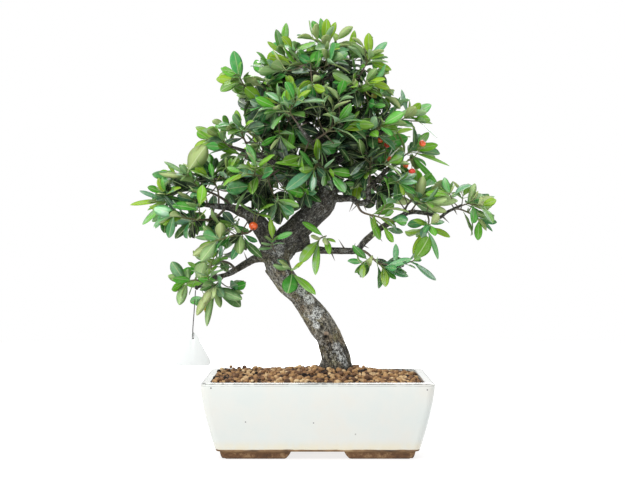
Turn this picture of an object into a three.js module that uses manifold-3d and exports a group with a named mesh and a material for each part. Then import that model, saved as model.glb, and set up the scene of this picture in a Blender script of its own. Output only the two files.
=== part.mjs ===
// Firethorn bonsai in a glazed rectangular pot.
// Millimetres, +Z up. While the pieces are made, the pot's centre is over the origin and its feet
// stand on Z = FOOT_BOTTOM. At the end the whole group is moved so that the middle of its outer box
// is over the origin and the feet stand on Z = 0.

import * as THREE from "three";
import { mergeVertices } from "three/addons/utils/BufferGeometryUtils.js";
import Module from "manifold-3d";

const wasm = await Module();
wasm.setup();

// Clear space between two pieces that touch on the real tree
const GAP = 0.3;

// Pot
const POT_LENGTH = 255;
const POT_DEPTH = 190;
const POT_HEIGHT = 81;
const POT_TAPER = 16.6;
const POT_TAPER_POWER = 1.45;
const POT_CORNER = 9;
const LIP_WIDTH = 11;
const WALL_THINNING = 3;
const FLOOR_BOTTOM = 5;
const FLOOR_TOP = 13.5;
const FOOT_BOTTOM = -3.5;
const FOOT_LONG = 78;
const FOOT_SHORT = 50;
const FOOT_WIDTH = 15;
const FOOT_INSET = 4;
const FOOT_SLANT = 6;
const FOOT_SUNK = 1;
const DRAIN_RADIUS = 12;
const DRAIN_SPACING = 110;

// Plastic mesh over each drain hole
const SCREEN_SIZE = 38;
const SCREEN_THICKNESS = 1.6;
const SCREEN_BAR = 4;
const SCREEN_CELLS = 2;

// Soil
const MOUND_ROOM = 15;
const SOIL_EDGE_HEIGHT = 78;
const SOIL_MOUND = 12;
const SOIL_MOUND_REACH = 62;
const SOIL_RIGHT_FALL = 0.02;
const GRANULE_SPACING = 8.6;
const GRANULE_RISE = 4.2;

// Trunk and branches: [x, y, z, radius] from root to tip
const WOOD_SIDES = 5;
const TRUNK_SIDES = 11;
const TRUNK_FLUTE = 0.06;
const TRUNK = [
  [22, 0, 46, 7], [22, 0, 66, 13], [21, 0, 84, 18.5], [21, 0, 92, 17.5], [20, 0, 102, 15.5],
  [14, -2, 120, 14.5], [3, -5, 140, 14.8], [-5, -6, 153, 13.4], [-21, -7, 174, 12],
  [-35, -5, 189, 13.3], [-42, -2, 201, 13.6], [-46, 0, 214, 15.5], [-39, 2, 228, 16],
  [-23, 2, 247, 14.5], [-6, 0, 264, 14], [9, 0, 281, 13], [13, 0, 298, 10.3],
  [13, 2, 315, 7.5], [16, 4, 338, 6], [18, 4, 373, 4.5], [19, 2, 401, 3.4], [14, 0, 429, 2.4],
];
const LIMBS = {
  left: [
    [-46, 0, 222, 13], [-63, -5, 249, 11], [-77, -9, 264, 8], [-88, -11, 268, 6],
    [-99, -12, 272, 4.2], [-118, -10, 274, 3.2], [-133, -8, 276, 2.4], [-147, -6, 274, 1.8],
  ],
  lowLeft: [
    [-48, 0, 216, 7], [-60, -2, 215, 5.5], [-71, 2, 214, 4.8], [-81, 6, 209, 4.4],
    [-97, 11, 199, 3.6], [-106, 11, 195, 3], [-123, 7, 191, 2.2], [-130, 4, 184, 2],
    [-140, -1, 180, 1.6],
  ],
  upLeft: [
    [8, 0, 299, 6], [-8, -4, 308, 5], [-31, -8, 314, 4.3], [-52, -11, 324, 3.6],
    [-63, -12, 330, 3.2], [-88, -12, 338, 2.3], [-101, -10, 342, 1.6],
  ],
  rightMid: [
    [14, 0, 286, 6], [23, -4, 283, 4.6], [39, -12, 282, 3.7], [46, -14, 277, 3.4], [57, -16, 280, 3.4],
    [58, -15, 294, 3.2], [65, -12, 301, 3], [78, -8, 314, 2.4], [92, -6, 326, 1.6],
  ],
  lowRight: [
    [-37, 4, 224, 7], [-14, 14, 228, 5], [0, 10, 224, 4.4], [31, -2, 223, 3.9], [45, -6, 224, 3.8],
    [53, -8, 233, 3.8], [68, -10, 246, 3.7], [87, -10, 258, 3.3], [106, -8, 267, 2.8],
    [126, -6, 265, 2.4], [139, -6, 261, 2.2], [147, -8, 267, 2.1], [164, -12, 275, 1.6],
  ],
  topLeft: [[16, 4, 338, 4.5], [-10, -15, 365, 3.4], [-45, -25, 388, 2.6], [-70, -30, 402, 1.8]],
  topFront: [[13, 2, 318, 4.5], [2, -28, 335, 3.4], [-14, -60, 352, 2.4], [-22, -80, 362, 1.8]],
  topRight: [[18, 4, 376, 3.6], [36, -8, 402, 2.6], [48, -16, 420, 1.8]],
  crownRight: [[13, 2, 318, 4.5], [38, -6, 336, 3.4], [62, -16, 350, 2.6], [84, -22, 364, 1.8]],
  topBack: [[17, 4, 350, 4.2], [6, 36, 368, 3.2], [-12, 66, 382, 2.2], [-20, 80, 392, 1.7]],
  backLeft: [[-8, 0, 264, 6], [-20, 34, 282, 4.2], [-38, 66, 300, 3], [-52, 90, 318, 1.9]],
  backRight: [[9, 0, 284, 5], [32, 32, 300, 3.8], [54, 60, 316, 2.8], [70, 80, 332, 1.8]],
};

// Old pruning scars and burrs on the trunk: [x, y, z, radius]
const KNOTS = [[9, -12, 127, 7], [-17, -4, 235, 9], [-56, -4, 224, 10], [-1, 6, 265, 10]];

// Leafy shoots. path: [x, y, z, radius] from the branch outwards, sides: side shoots,
// leaf: usual leaf length, tips: [x, y, z, width] of leaves that are drawn out to a given point
const SHOOTS = {
  low_left_tip: {
    path: [[-129, 4, 185, 1.6], [-138, -7, 190, 1.5], [-151, -6, 187, 1.1]], sides: 0, leaf: 28,
    tips: [
      [-165, -8, 211, 14], [-166, -2, 178, 10], [-157, -12, 162, 12], [-148, 4, 203, 8],
      [-128, -14, 209, 18],
    ],
  },
  low_left_fork: {
    path: [[-107, 11, 194, 2.2], [-112, 0, 188, 1.8], [-118, -14, 182, 1.2]], sides: 0, leaf: 31,
    tips: [
      [-85, -24, 170, 14], [-86, -12, 161, 18], [-109, -22, 160, 9], [-136, -22, 151, 10],
      [-125, -16, 138, 8],
    ],
  },
  low_left_mid: {
    path: [[-117, 9, 192, 1.7], [-122, 8, 203, 1.4], [-119, 8, 214, 1]],
    sides: 1, leaf: 24, tips: [],
  },
  low_left_back: {
    path: [[-93, 10, 201, 2.6], [-103, 22, 209, 2.2], [-119, 36, 212, 1.9], [-134, 50, 213, 1.2]],
    sides: 2, leaf: 28, tips: [],
  },
  left_tip: {
    path: [[-146, -6, 274, 1.8], [-160, -8, 277, 1.5], [-174, -9, 280, 1.1]], sides: 1, leaf: 26,
    tips: [
      [-201, -14, 292, 6], [-214, -10, 277, 8], [-201, -4, 254, 10], [-183, -18, 249, 7],
      [-196, 6, 271, 8],
    ],
  },
  left_rise: {
    path: [[-125, -9, 275, 2.2], [-127, -12, 284, 2], [-133, -14, 292, 1.7], [-148, -17, 311, 1.2]],
    sides: 1, leaf: 28,
    tips: [[-126, -26, 341, 22], [-139, -10, 339, 12], [-172, -20, 325, 7], [-180, -12, 313, 9]],
  },
  left_front: {
    path: [[-104, -12, 271, 2.8], [-118, -26, 259, 2.3], [-142, -42, 259, 1.7], [-160, -50, 263, 1.2]],
    sides: 2, leaf: 28, tips: [[-164, -56, 238, 10]],
  },
  left_back: {
    path: [[-92, -10, 269, 2.8], [-109, 6, 283, 2.4], [-130, 26, 293, 1.9], [-156, 50, 302, 1.2]],
    sides: 2, leaf: 30, tips: [],
  },
  left_mid_up: {
    path: [[-112, -11, 273, 2], [-112, -20, 290, 1.6], [-118, -30, 306, 1.1]],
    sides: 2, leaf: 28, tips: [],
  },
  left_inner_up: {
    path: [[-84, -11, 267, 2.2], [-86, 2, 285, 1.8], [-92, 14, 306, 1.2]],
    sides: 2, leaf: 30, tips: [],
  },
  left_inner_low: {
    path: [[-118, -10, 273, 2], [-119, 6, 258, 1.6], [-116, 20, 246, 1.1]],
    sides: 2, leaf: 28, tips: [],
  },
  mid_left: {
    path: [[-70, -8, 256, 2.8], [-76, -20, 245, 2.2], [-95, -38, 240, 1.8], [-114, -48, 234, 1.2]],
    sides: 1, leaf: 28,
    tips: [
      [-138, -54, 219, 10], [-128, -62, 213, 14], [-136, -44, 240, 9], [-125, -58, 251, 12],
      [-107, -56, 254, 12], [-90, -50, 252, 9],
    ],
  },
  up_left_tip: {
    path: [[-100, -10, 342, 1.6], [-110, -9, 350, 1.1]], sides: 1, leaf: 31,
    tips: [[-137, -16, 364, 11], [-120, -2, 361, 11]],
  },
  up_left_mid: {
    path: [[-76, -12, 334, 2], [-82, -22, 348, 1.6], [-88, -34, 362, 1.1]],
    sides: 2, leaf: 30, tips: [],
  },
  up_left_front: {
    path: [[-40, -9, 318, 2.6], [-52, -27, 309, 2.2], [-68, -44, 307, 1.7], [-86, -58, 310, 1.1]],
    sides: 2, leaf: 30, tips: [],
  },
  up_left_back: {
    path: [[-60, -12, 329, 2.6], [-73, 12, 331, 2.1], [-90, 38, 335, 1.7], [-108, 62, 343, 1.1]],
    sides: 2, leaf: 30, tips: [],
  },
  up_left_low: {
    path: [[-46, -10, 321, 2], [-56, -4, 308, 1.5], [-64, 8, 296, 1.1]],
    sides: 2, leaf: 28, tips: [],
  },
  top_left_tip: {
    path: [[-69, -30, 402, 1.8], [-80, -32, 407, 1.4], [-90, -34, 413, 1]], sides: 1, leaf: 28,
    tips: [[-113, -36, 416, 13], [-108, -42, 402, 13], [-93, -30, 448, 15], [-108, -28, 430, 10]],
  },
  top_left_low: {
    path: [[-30, -21, 378, 2.2], [-44, -38, 378, 1.8], [-62, -56, 384, 1.1]],
    sides: 2, leaf: 30, tips: [],
  },
  top_left_mid: {
    path: [[-52, -26, 392, 2], [-54, -12, 406, 1.6], [-58, 2, 422, 1.1]],
    sides: 2, leaf: 28, tips: [],
  },
  top_left_high: {
    path: [[18, 4, 380, 2.6], [-6, 2, 408, 2.2], [-26, -2, 430, 1.6], [-40, -4, 448, 1.1]],
    sides: 2, leaf: 28,
    tips: [[-46, -12, 474, 10], [-35, -8, 482, 9], [-56, -6, 462, 9]],
  },
  apex: {
    path: [[15, 1, 426, 2.4], [11, -2, 444, 1.8], [8, -3, 462, 1.1]], sides: 2, leaf: 28,
    tips: [[4, -8, 488, 8], [-5, -2, 486, 12], [11, -6, 487, 11], [21, 2, 485, 8]],
  },
  apex_right: {
    path: [[18, 2, 405, 2.2], [28, 12, 426, 1.7], [38, 16, 446, 1.1]],
    sides: 2, leaf: 28, tips: [[43, 10, 476, 8]],
  },
  top_right_tip: {
    path: [[47, -16, 419, 1.8], [54, -20, 432, 1.5], [60, -22, 442, 1.1]], sides: 1, leaf: 28,
    tips: [[58, -26, 468, 11], [78, -22, 459, 9], [74, -32, 443, 12], [84, -20, 428, 10]],
  },
  top_right_front: {
    path: [[33, -6, 398, 2.1], [44, -28, 402, 1.7], [56, -48, 410, 1.1]],
    sides: 2, leaf: 28, tips: [[80, -50, 404, 10]],
  },
  top_right_back: {
    path: [[26, -1, 388, 2.2], [44, 22, 398, 1.8], [60, 42, 410, 1.1]],
    sides: 2, leaf: 30, tips: [],
  },
  top_front_high: {
    path: [[18, 2, 399, 2.4], [4, -24, 415, 1.9], [-8, -48, 432, 1.2]],
    sides: 2, leaf: 28, tips: [],
  },
  top_back_high: {
    path: [[18, 3, 392, 2.4], [6, 30, 412, 1.9], [-8, 54, 432, 1.2]],
    sides: 2, leaf: 28, tips: [],
  },
  top_front_tip: {
    path: [[-21, -79, 361, 1.8], [-28, -90, 370, 1.4], [-32, -98, 380, 1]],
    sides: 2, leaf: 30, tips: [],
  },
  top_front_right: {
    path: [[-6, -44, 344, 2.2], [10, -62, 354, 1.8], [24, -78, 366, 1.1]],
    sides: 2, leaf: 30, tips: [],
  },
  top_front_low: {
    path: [[6, -18, 329, 2.2], [0, -36, 322, 1.8], [-4, -46, 312, 1.2]], sides: 1, leaf: 30,
    tips: [[1, -62, 345, 12], [-18, -64, 334, 10], [-46, -52, 323, 10], [-34, -62, 292, 13]],
  },
  top_back_left: {
    path: [[-12, 66, 382, 2], [-34, 78, 390, 1.7], [-56, 84, 400, 1.1]],
    sides: 2, leaf: 30, tips: [],
  },
  top_back_tip: {
    path: [[-19, 79, 391, 1.7], [-16, 92, 402, 1.4], [-8, 102, 412, 1]],
    sides: 2, leaf: 30, tips: [],
  },
  top_back_right: {
    path: [[6, 36, 368, 2.2], [28, 58, 376, 1.8], [46, 78, 386, 1.1]],
    sides: 2, leaf: 30, tips: [],
  },
  crown_right_tip: {
    path: [[83, -22, 363, 1.8], [94, -24, 370, 1.4], [103, -26, 376, 1]], sides: 2, leaf: 28,
    tips: [[95, -30, 404, 6], [127, -30, 388, 13], [130, -22, 368, 7]],
  },
  crown_right_front: {
    path: [[54, -13, 346, 2.2], [62, -36, 354, 1.8], [72, -58, 364, 1.1]],
    sides: 2, leaf: 30, tips: [],
  },
  crown_right_back: {
    path: [[40, -6, 338, 2.2], [58, 18, 350, 1.8], [76, 38, 362, 1.1]],
    sides: 2, leaf: 30, tips: [],
  },
  right_rise_tip: {
    path: [[91, -6, 325, 1.7], [100, -7, 332, 1.4], [108, -8, 338, 1]], sides: 1, leaf: 28,
    tips: [[136, -14, 344, 11], [126, -10, 358, 10], [151, -8, 322, 7], [138, -2, 302, 8]],
  },
  right_thin: {
    path: [[58, -15, 296, 2.2], [59, -26, 312, 1.8], [60, -40, 332, 1.1]],
    sides: 2, leaf: 28, tips: [],
  },
  right_drop: {
    path: [[44, -14, 278, 2.4], [50, -25, 267, 2.1], [65, -35, 262, 1.8], [86, -46, 256, 1.1]],
    sides: 2, leaf: 27, tips: [],
  },
  right_fan: {
    path: [[105, -8, 266, 2], [110, -16, 274, 1.5], [114, -22, 281, 1.1]], sides: 1, leaf: 28,
    tips: [[157, -30, 281, 14], [86, -28, 309, 13], [118, -34, 306, 11]],
  },
  right_end: {
    path: [[163, -12, 274, 1.6], [174, -13, 278, 1.1]], sides: 1, leaf: 26,
    tips: [[199, -16, 284, 10], [178, -18, 299, 8], [196, -8, 272, 8]],
  },
  right_tip: {
    path: [[144, -7, 265, 1.8], [159, 4, 271, 1.7], [175, 10, 266, 1.5], [188, 12, 258, 1.1]],
    sides: 1, leaf: 26, tips: [[203, 8, 264, 7], [185, 10, 235, 10], [203, 16, 246, 8]],
  },
  right_hang: {
    path: [[125, -6, 265, 1.8], [126, -16, 256, 1.5], [122, -20, 246, 1.1]], sides: 1, leaf: 28,
    tips: [[110, -24, 214, 14], [137, -22, 214, 7], [150, -22, 240, 10]],
  },
  right_down: {
    path: [[43, -6, 224, 2.8], [54, -16, 222, 2.4], [66, -30, 211, 2], [75, -36, 204, 1.2]],
    sides: 2, leaf: 27,
    tips: [[104, -42, 215, 9], [102, -36, 196, 9], [76, -44, 184, 10], [42, -42, 200, 8]],
  },
  right_back: {
    path: [[97, -9, 263, 2.4], [104, 16, 276, 2], [114, 40, 283, 1.6], [126, 62, 290, 1.1]],
    sides: 2, leaf: 30, tips: [],
  },
  back_left: {
    path: [[-51, 89, 317, 1.9], [-60, 100, 330, 1.5], [-68, 108, 344, 1.1]],
    sides: 2, leaf: 31, tips: [],
  },
  back_right: {
    path: [[69, 79, 331, 1.8], [80, 90, 344, 1.5], [88, 98, 356, 1.1]],
    sides: 2, leaf: 31, tips: [],
  },
  trunk_low: {
    path: [[-28, -6, 184, 2], [-29, -20, 199, 1.6], [-30, -28, 204, 1.1]], sides: 0, leaf: 26,
    tips: [[-33, -37, 177, 18], [-2, -35, 176, 11], [-42, -34, 213, 9]],
  },
  trunk_mid: {
    path: [[0, 10, 225, 2], [2, -6, 236, 1.7], [10, -18, 240, 1.1]], sides: 0, leaf: 26,
    tips: [[-19, -32, 211, 12], [14, -26, 220, 8], [-2, -30, 198, 9], [-16, -24, 256, 9]],
  },
};

// Berry bunches: the common stalk, then [x, y, z, radius] of each berry
const STALK_RADIUS = 0.8;
const BERRIES = {
  berries_left: { stalk: [[-76, -9, 266], [-67, -20, 274]], fruit: [[-72, -28, 251, 5]] },
  berries_right: {
    stalk: [[78, -8, 314], [76, -20, 334]],
    fruit: [[70, -30, 348, 4.2], [78, -32, 342, 3.6], [81, -30, 326, 3.4]],
  },
  berries_far_right: {
    stalk: [[84, -7, 319], [93, -20, 321], [106, -26, 326]],
    fruit: [[118, -26, 344, 4], [99, -27, 319, 3.2], [106, -28, 312, 4]],
  },
};

// Blank hang tag on its thread
const TAG_WIDTH = 40;
const TAG_HEIGHT = 37;
const TAG_CORNER = 5;
const TAG_THICKNESS = 1;
const TAG_TOP = [-142, -1, 129];
const TAG_HOLE_RADIUS = 1.6;
const TAG_HOLE_DROP = 5;
const THREAD_RADIUS = 0.55;
const THREAD_SIDES = 8;
const THREAD_STEP = 3.3;
const THREAD_START = [-139, -1, 178];

// Leaf shape: share of the length at each cross line, and share of the half width there
const BLADE_ALONG = [0, 0.44, 0.8, 1];
const BLADE_WIDTH = [0, 0.8, 0.95, 0];
const LONG_BLADE_ALONG = [0, 0.25, 0.58, 0.86, 1];
const LONG_BLADE_WIDTH = [0, 0.38, 1, 0.78, 0];
const BLADE_THICKNESS = 1.2;
const LEAVES_PER_SHOOT = 7;
const LEAVES_PAST_DRAWN = 2;
const LONG_LEAF = 38;
const LEAF_WIDTH_SHARE = 0.42;
const GOLDEN_ANGLE = 2.39996;
const SIDE_SHOOT_LENGTH = 24;
const SIDE_SHOOT_LEAVES = 6;
const MAIN_SHOOT_LEAVES = 8;
const PROBE_START = 0.24;
const TIP_LEAF_START = 1.2;
const TIP_LEAF_STEP = 1.3;

// The same number between 0 and 1 every time for the same pair of whole numbers
function chance(first, second) {
  const value = Math.sin(first * 12.9898 + second * 78.233) * 43758.5453;
  return value - Math.floor(value);
}

function mix(a, b, share) {
  return a + (b - a) * share;
}

function vector(point) {
  return new THREE.Vector3(point[0], point[1], point[2]);
}

// A closed geometry made into a solid that can be joined and cut
function solidOf(geometry) {
  const bare = geometry.clone();
  bare.deleteAttribute("normal");
  bare.deleteAttribute("uv");
  const merged = mergeVertices(bare, 1e-3);
  const vertProperties = new Float32Array(merged.attributes.position.array);
  const triVerts = new Uint32Array(merged.index.array);
  return new wasm.Manifold(new wasm.Mesh({ numProp: 3, vertProperties, triVerts }));
}

function geometryOf(solid) {
  const mesh = solid.getMesh();
  const geometry = new THREE.BufferGeometry();
  geometry.setAttribute("position", new THREE.BufferAttribute(new Float32Array(mesh.vertProperties), 3));
  geometry.setIndex(new THREE.BufferAttribute(new Uint32Array(mesh.triVerts), 1));
  geometry.computeVertexNormals();
  return geometry;
}

function joined(solids) {
  return wasm.Manifold.union(solids);
}

// The largest connected body of a solid
function mainBody(solid) {
  const bodies = solid.decompose();
  bodies.sort((a, b) => b.volume() - a.volume());
  return bodies[0];
}

function polygonShape(sides) {
  const points = [];
  for (let i = 0; i < sides; i += 1) {
    const angle = (i / sides) * Math.PI * 2;
    points.push(new THREE.Vector2(Math.cos(angle), Math.sin(angle)));
  }
  return new THREE.Shape(points);
}

// Cross-section directions carried along a row of points without twisting
function framesAlong(points) {
  const frames = [];
  let across = new THREE.Vector3(0.31, -0.9, 0.31);
  for (let i = 0; i < points.length; i += 1) {
    const before = points[Math.max(i - 1, 0)];
    const after = points[Math.min(i + 1, points.length - 1)];
    const forward = after.clone().sub(before).normalize();
    across = across.clone().addScaledVector(forward, -across.dot(forward)).normalize();
    const up = forward.clone().cross(across);
    frames.push({ forward, across, up });
  }
  return frames;
}

// A tapering round stem through [x, y, z, radius] points; flute gives an old trunk its hollows
function stemGeometry(route, sides, splits, grow, flute) {
  const curve = new THREE.CatmullRomCurve3(route.map(vector), false, "catmullrom", 0.5);
  const steps = (route.length - 1) * splits;
  const centres = [];
  const radii = [];
  for (let i = 0; i <= steps; i += 1) {
    const place = i / splits;
    const low = Math.min(Math.floor(place), route.length - 2);
    centres.push(curve.getPoint(i / steps));
    radii.push(mix(route[low][3], route[low + 1][3], place - low) + grow);
  }
  const frames = framesAlong(centres);
  centres[0].addScaledVector(frames[0].forward, -grow);
  centres[steps].addScaledVector(frames[steps].forward, grow);
  const geometry = new THREE.ExtrudeGeometry(polygonShape(sides), { depth: 1, steps, bevelEnabled: false });
  const position = geometry.attributes.position;
  for (let i = 0; i < position.count; i += 1) {
    const x = position.getX(i);
    const y = position.getY(i);
    const ring = Math.round(position.getZ(i) * steps);
    const angle = Math.atan2(y, x);
    const hollow = 1 + flute * (Math.cos(3 * angle + ring * 0.5) + 0.6 * Math.cos(5 * angle - ring * 0.3));
    const place = centres[ring].clone();
    place.addScaledVector(frames[ring].across, x * radii[ring] * hollow);
    place.addScaledVector(frames[ring].up, y * radii[ring] * hollow);
    position.setXYZ(i, place.x, place.y, place.z);
  }
  return geometry;
}

function woodSolid(grow) {
  const pieces = [solidOf(stemGeometry(TRUNK, TRUNK_SIDES, 1, grow, TRUNK_FLUTE))];
  for (const route of Object.values(LIMBS)) {
    pieces.push(solidOf(stemGeometry(route, WOOD_SIDES, 1, grow, 0)));
  }
  for (const [x, y, z, radius] of KNOTS) {
    const knot = new THREE.SphereGeometry(radius + grow, 6, 4);
    knot.translate(x, y, z);
    pieces.push(solidOf(knot));
  }
  return mainBody(joined(pieces));
}

// Three-cornered blade: a flat upper face between its two edges and a keel along the midrib below
function bladeTemplate(along, width) {
  const rows = along.length - 1;
  const sphere = new THREE.SphereGeometry(1, 3, rows);
  sphere.deleteAttribute("normal");
  sphere.deleteAttribute("uv");
  const merged = mergeVertices(sphere, 1e-4);
  const position = merged.attributes.position;
  const corners = [];
  for (let i = 0; i < position.count; i += 1) {
    const row = Math.round((Math.acos(THREE.MathUtils.clamp(position.getY(i), -1, 1)) / Math.PI) * rows);
    const atEnd = row === 0 || row === rows;
    const keel = !atEnd && Math.abs(position.getZ(i)) < 1e-6;
    const side = atEnd || keel ? 0 : Math.sign(position.getZ(i));
    corners.push({ along: along[row], halfWidth: width[row], side, keel: keel ? 1 : 0 });
  }
  return { corners, triangles: new Uint32Array(merged.index.array) };
}

const SHORT_BLADE = bladeTemplate(BLADE_ALONG, BLADE_WIDTH);
const LONG_BLADE = bladeTemplate(LONG_BLADE_ALONG, LONG_BLADE_WIDTH);

// One leaf: base at its stem, forward along the midrib, normal out of the upper face
function bladeSolid(leaf, template, from, grow) {
  const across = leaf.forward.clone().cross(leaf.normal).normalize();
  const vertProperties = new Float32Array(template.corners.length * 3);
  const half = leaf.width / 2;
  template.corners.forEach((corner, i) => {
    const share = mix(from, 1 + grow / leaf.length, corner.along);
    const droop = leaf.arch * leaf.length * (share * share - share * 0.4);
    const depth = corner.keel * (BLADE_THICKNESS + 2 * grow);
    const place = leaf.base.clone();
    place.addScaledVector(leaf.forward, share * leaf.length);
    place.addScaledVector(across, corner.side * (corner.halfWidth * half + 2 * grow));
    place.addScaledVector(leaf.normal, grow - depth - droop);
    place.toArray(vertProperties, i * 3);
  });
  return new wasm.Manifold(new wasm.Mesh({ numProp: 3, vertProperties, triVerts: template.triangles }));
}

// A row of points with radii as a straight-sided stem, for thin shoots and stalks
function stickSolid(route, sides, grow) {
  const last = route.length - 1;
  const centres = route.map(vector);
  const frames = framesAlong(centres);
  centres[last].addScaledVector(frames[last].forward, grow);
  const shape = polygonShape(sides);
  const geometry = new THREE.ExtrudeGeometry(shape, { depth: 1, steps: last, bevelEnabled: false });
  const position = geometry.attributes.position;
  for (let i = 0; i < position.count; i += 1) {
    const ring = Math.round(position.getZ(i) * last);
    const radius = route[ring][3] + grow;
    const place = centres[ring].clone();
    place.addScaledVector(frames[ring].across, position.getX(i) * radius);
    place.addScaledVector(frames[ring].up, position.getY(i) * radius);
    position.setXYZ(i, place.x, place.y, place.z);
  }
  return solidOf(geometry);
}

// A point on a route, place counted in points from its start, and the direction there
function alongRoute(route, place) {
  const low = Math.min(Math.floor(place), route.length - 2);
  const start = vector(route[low]);
  const end = vector(route[low + 1]);
  const radius = mix(route[low][3], route[low + 1][3], place - low);
  return { point: start.clone().lerp(end, place - low), forward: end.sub(start).normalize(), radius };
}

// Direction at an angle off a stem, at a turn about it counted from the upper side
function branchingOff(forward, turn, angle) {
  const level = new THREE.Vector3(0.31, 0.47, 0.83);
  const side = forward.clone().cross(level).normalize();
  const lift = side.clone().cross(forward).normalize();
  const outward = side.multiplyScalar(Math.sin(turn)).addScaledVector(lift, Math.cos(turn));
  const direction = forward.clone().multiplyScalar(Math.cos(angle));
  direction.addScaledVector(outward, Math.sin(angle));
  return { direction, outward };
}

// Side shoots of a leafy shoot, in turn round its outer part
function sideShoots(shoot, seed) {
  const routes = [];
  const last = shoot.path.length - 1;
  for (let i = 0; i < shoot.sides; i += 1) {
    const place = last * mix(0.42, 0.8, (i + 0.5) / shoot.sides);
    const at = alongRoute(shoot.path, place);
    const turn = i * GOLDEN_ANGLE + chance(seed, 3) * 6;
    const { direction } = branchingOff(at.forward, turn, mix(0.8, 1.1, chance(seed, 10 + i)));
    direction.z += 0.25;
    direction.normalize();
    const length = SIDE_SHOOT_LENGTH * mix(0.75, 1.15, chance(seed, 20 + i));
    const end = at.point.clone().addScaledVector(direction, length);
    routes.push([[...at.point.toArray(), 1.2], [...end.toArray(), 0.9]]);
  }
  return routes;
}

// Blade with its upper face turned partly to the sky
function leafAt(base, direction, faceHint, length, width, arch) {
  const forward = direction.clone().normalize();
  const normal = faceHint.clone().normalize();
  normal.z += 0.8;
  normal.addScaledVector(forward, -normal.dot(forward)).normalize();
  return { base, forward, normal, length, width, arch };
}

// All the leaves of one stem: spread round it by the golden angle, closer and steeper at its tip
function stemLeaves(route, first, count, usual, seed) {
  const leaves = [];
  const last = route.length - 1;
  for (let i = 0; i < count; i += 1) {
    const share = (i + 1) / count;
    const at = alongRoute(route, last * mix(first, 0.97, share));
    const turn = i * GOLDEN_ANGLE + chance(seed, 40) * 6;
    const angle = mix(1.15, 0.45, share) + 0.3 * (chance(seed, 50 + i) - 0.5);
    const { direction, outward } = branchingOff(at.forward, turn, angle);
    direction.z += 0.3 * (chance(seed, 70 + i) - 0.4);
    const hint = at.forward.clone().multiplyScalar(Math.sin(angle));
    hint.addScaledVector(outward, -Math.cos(angle));
    const length = usual * mix(0.72, 1.28, chance(seed, 90 + i)) * mix(1, 0.85, share);
    const width = length * LEAF_WIDTH_SHARE * mix(0.85, 1.2, chance(seed, 110 + i));
    const base = at.point.addScaledVector(outward, at.radius * 0.35);
    leaves.push(leafAt(base, direction, hint, length, width, mix(0.05, 0.3, chance(seed, 130 + i))));
  }
  return leaves;
}

// Leaves that reach a given point, each from just below the nearest point of its shoot's route
function tipLeaves(shoot) {
  return shoot.tips.map(([x, y, z, width], i) => {
    const tip = new THREE.Vector3(x, y, z);
    const route = shoot.path.map(vector);
    let nearest = 1;
    for (let k = 2; k < route.length; k += 1) {
      nearest = route[k].distanceTo(tip) < route[nearest].distanceTo(tip) ? k : nearest;
    }
    const backward = route[nearest - 1].clone().sub(route[nearest]).normalize();
    const base = route[nearest].clone().addScaledVector(backward, TIP_LEAF_START + TIP_LEAF_STEP * i);
    const reach = tip.clone().sub(base);
    const hint = new THREE.Vector3(0.2, -0.9, 0.25 * ((i % 3) - 1));
    return leafAt(base, reach, hint, reach.length(), width, 0.12);
  });
}

const woodClear = woodSolid(GAP);
const taken = [];

function boxOf(solid) {
  const { min, max } = solid.boundingBox();
  return new THREE.Box3(new THREE.Vector3(...min), new THREE.Vector3(...max));
}

function keep(solid, owner) {
  taken.push({ solid, box: boxOf(solid), owner });
}

function clear(probe, owner) {
  const box = boxOf(probe);
  return taken.every((other) => other.owner === owner || !other.box.intersectsBox(box)
    || probe.intersect(other.solid).isEmpty());
}

function clearOfWood(probe) {
  return probe.intersect(woodClear).isEmpty();
}

// Stems of every shoot first, so that no leaf is laid across a stem
function shootStems(shoot, seed, owner) {
  const routes = [shoot.path];
  const solids = [stickSolid(shoot.path, 3, 0)];
  for (const route of sideShoots(shoot, seed)) {
    const probe = stickSolid(route, 3, GAP);
    const outer = stickSolid([[...alongRoute(route, 0.4).point.toArray(), 1.2], route[1]], 3, GAP);
    if (clear(probe, owner) && clearOfWood(outer)) {
      routes.push(route);
      solids.push(stickSolid(route, 3, 0));
    }
  }
  solids.forEach((solid) => keep(solid, owner));
  return { routes, solids };
}

// Leaves in the order in which they are wanted: drawn ones, then shoot ends, then the rest
function wantedLeaves(shoot, routes, seed) {
  const drawn = tipLeaves(shoot);
  const grown = [];
  routes.forEach((route, number) => {
    const count = number === 0 ? MAIN_SHOOT_LEAVES : SIDE_SHOOT_LEAVES;
    const first = number === 0 ? 0.45 : 0.3;
    const leaves = stemLeaves(route, first, count, shoot.leaf, seed + number * 7);
    leaves.reverse().forEach((leaf, place) => grown.push({ leaf, place }));
  });
  grown.sort((a, b) => a.place - b.place);
  return drawn.concat(grown.map((entry) => entry.leaf));
}

function leafySolid(name, shoot, stems, seed) {
  const solids = [...stems.solids];
  const others = [];
  let count = 0;
  const quota = Math.max(LEAVES_PER_SHOOT, shoot.tips.length + LEAVES_PAST_DRAWN);
  for (const leaf of wantedLeaves(shoot, stems.routes, seed)) {
    if (count >= quota) {
      break;
    }
    const template = leaf.length > LONG_LEAF ? LONG_BLADE : SHORT_BLADE;
    const probe = bladeSolid(leaf, SHORT_BLADE, PROBE_START, GAP + 0.1);
    const whole = bladeSolid(leaf, SHORT_BLADE, 0, GAP + 0.1);
    const free = clearOfWood(probe) && clear(whole, name)
      && others.every((other) => probe.intersect(other).isEmpty());
    if (free) {
      const blade = bladeSolid(leaf, template, 0, 0);
      solids.push(blade);
      others.push(blade);
      keep(blade, name);
      count += 1;
    }
  }
  return mainBody(joined(solids).subtract(woodClear));
}

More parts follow.
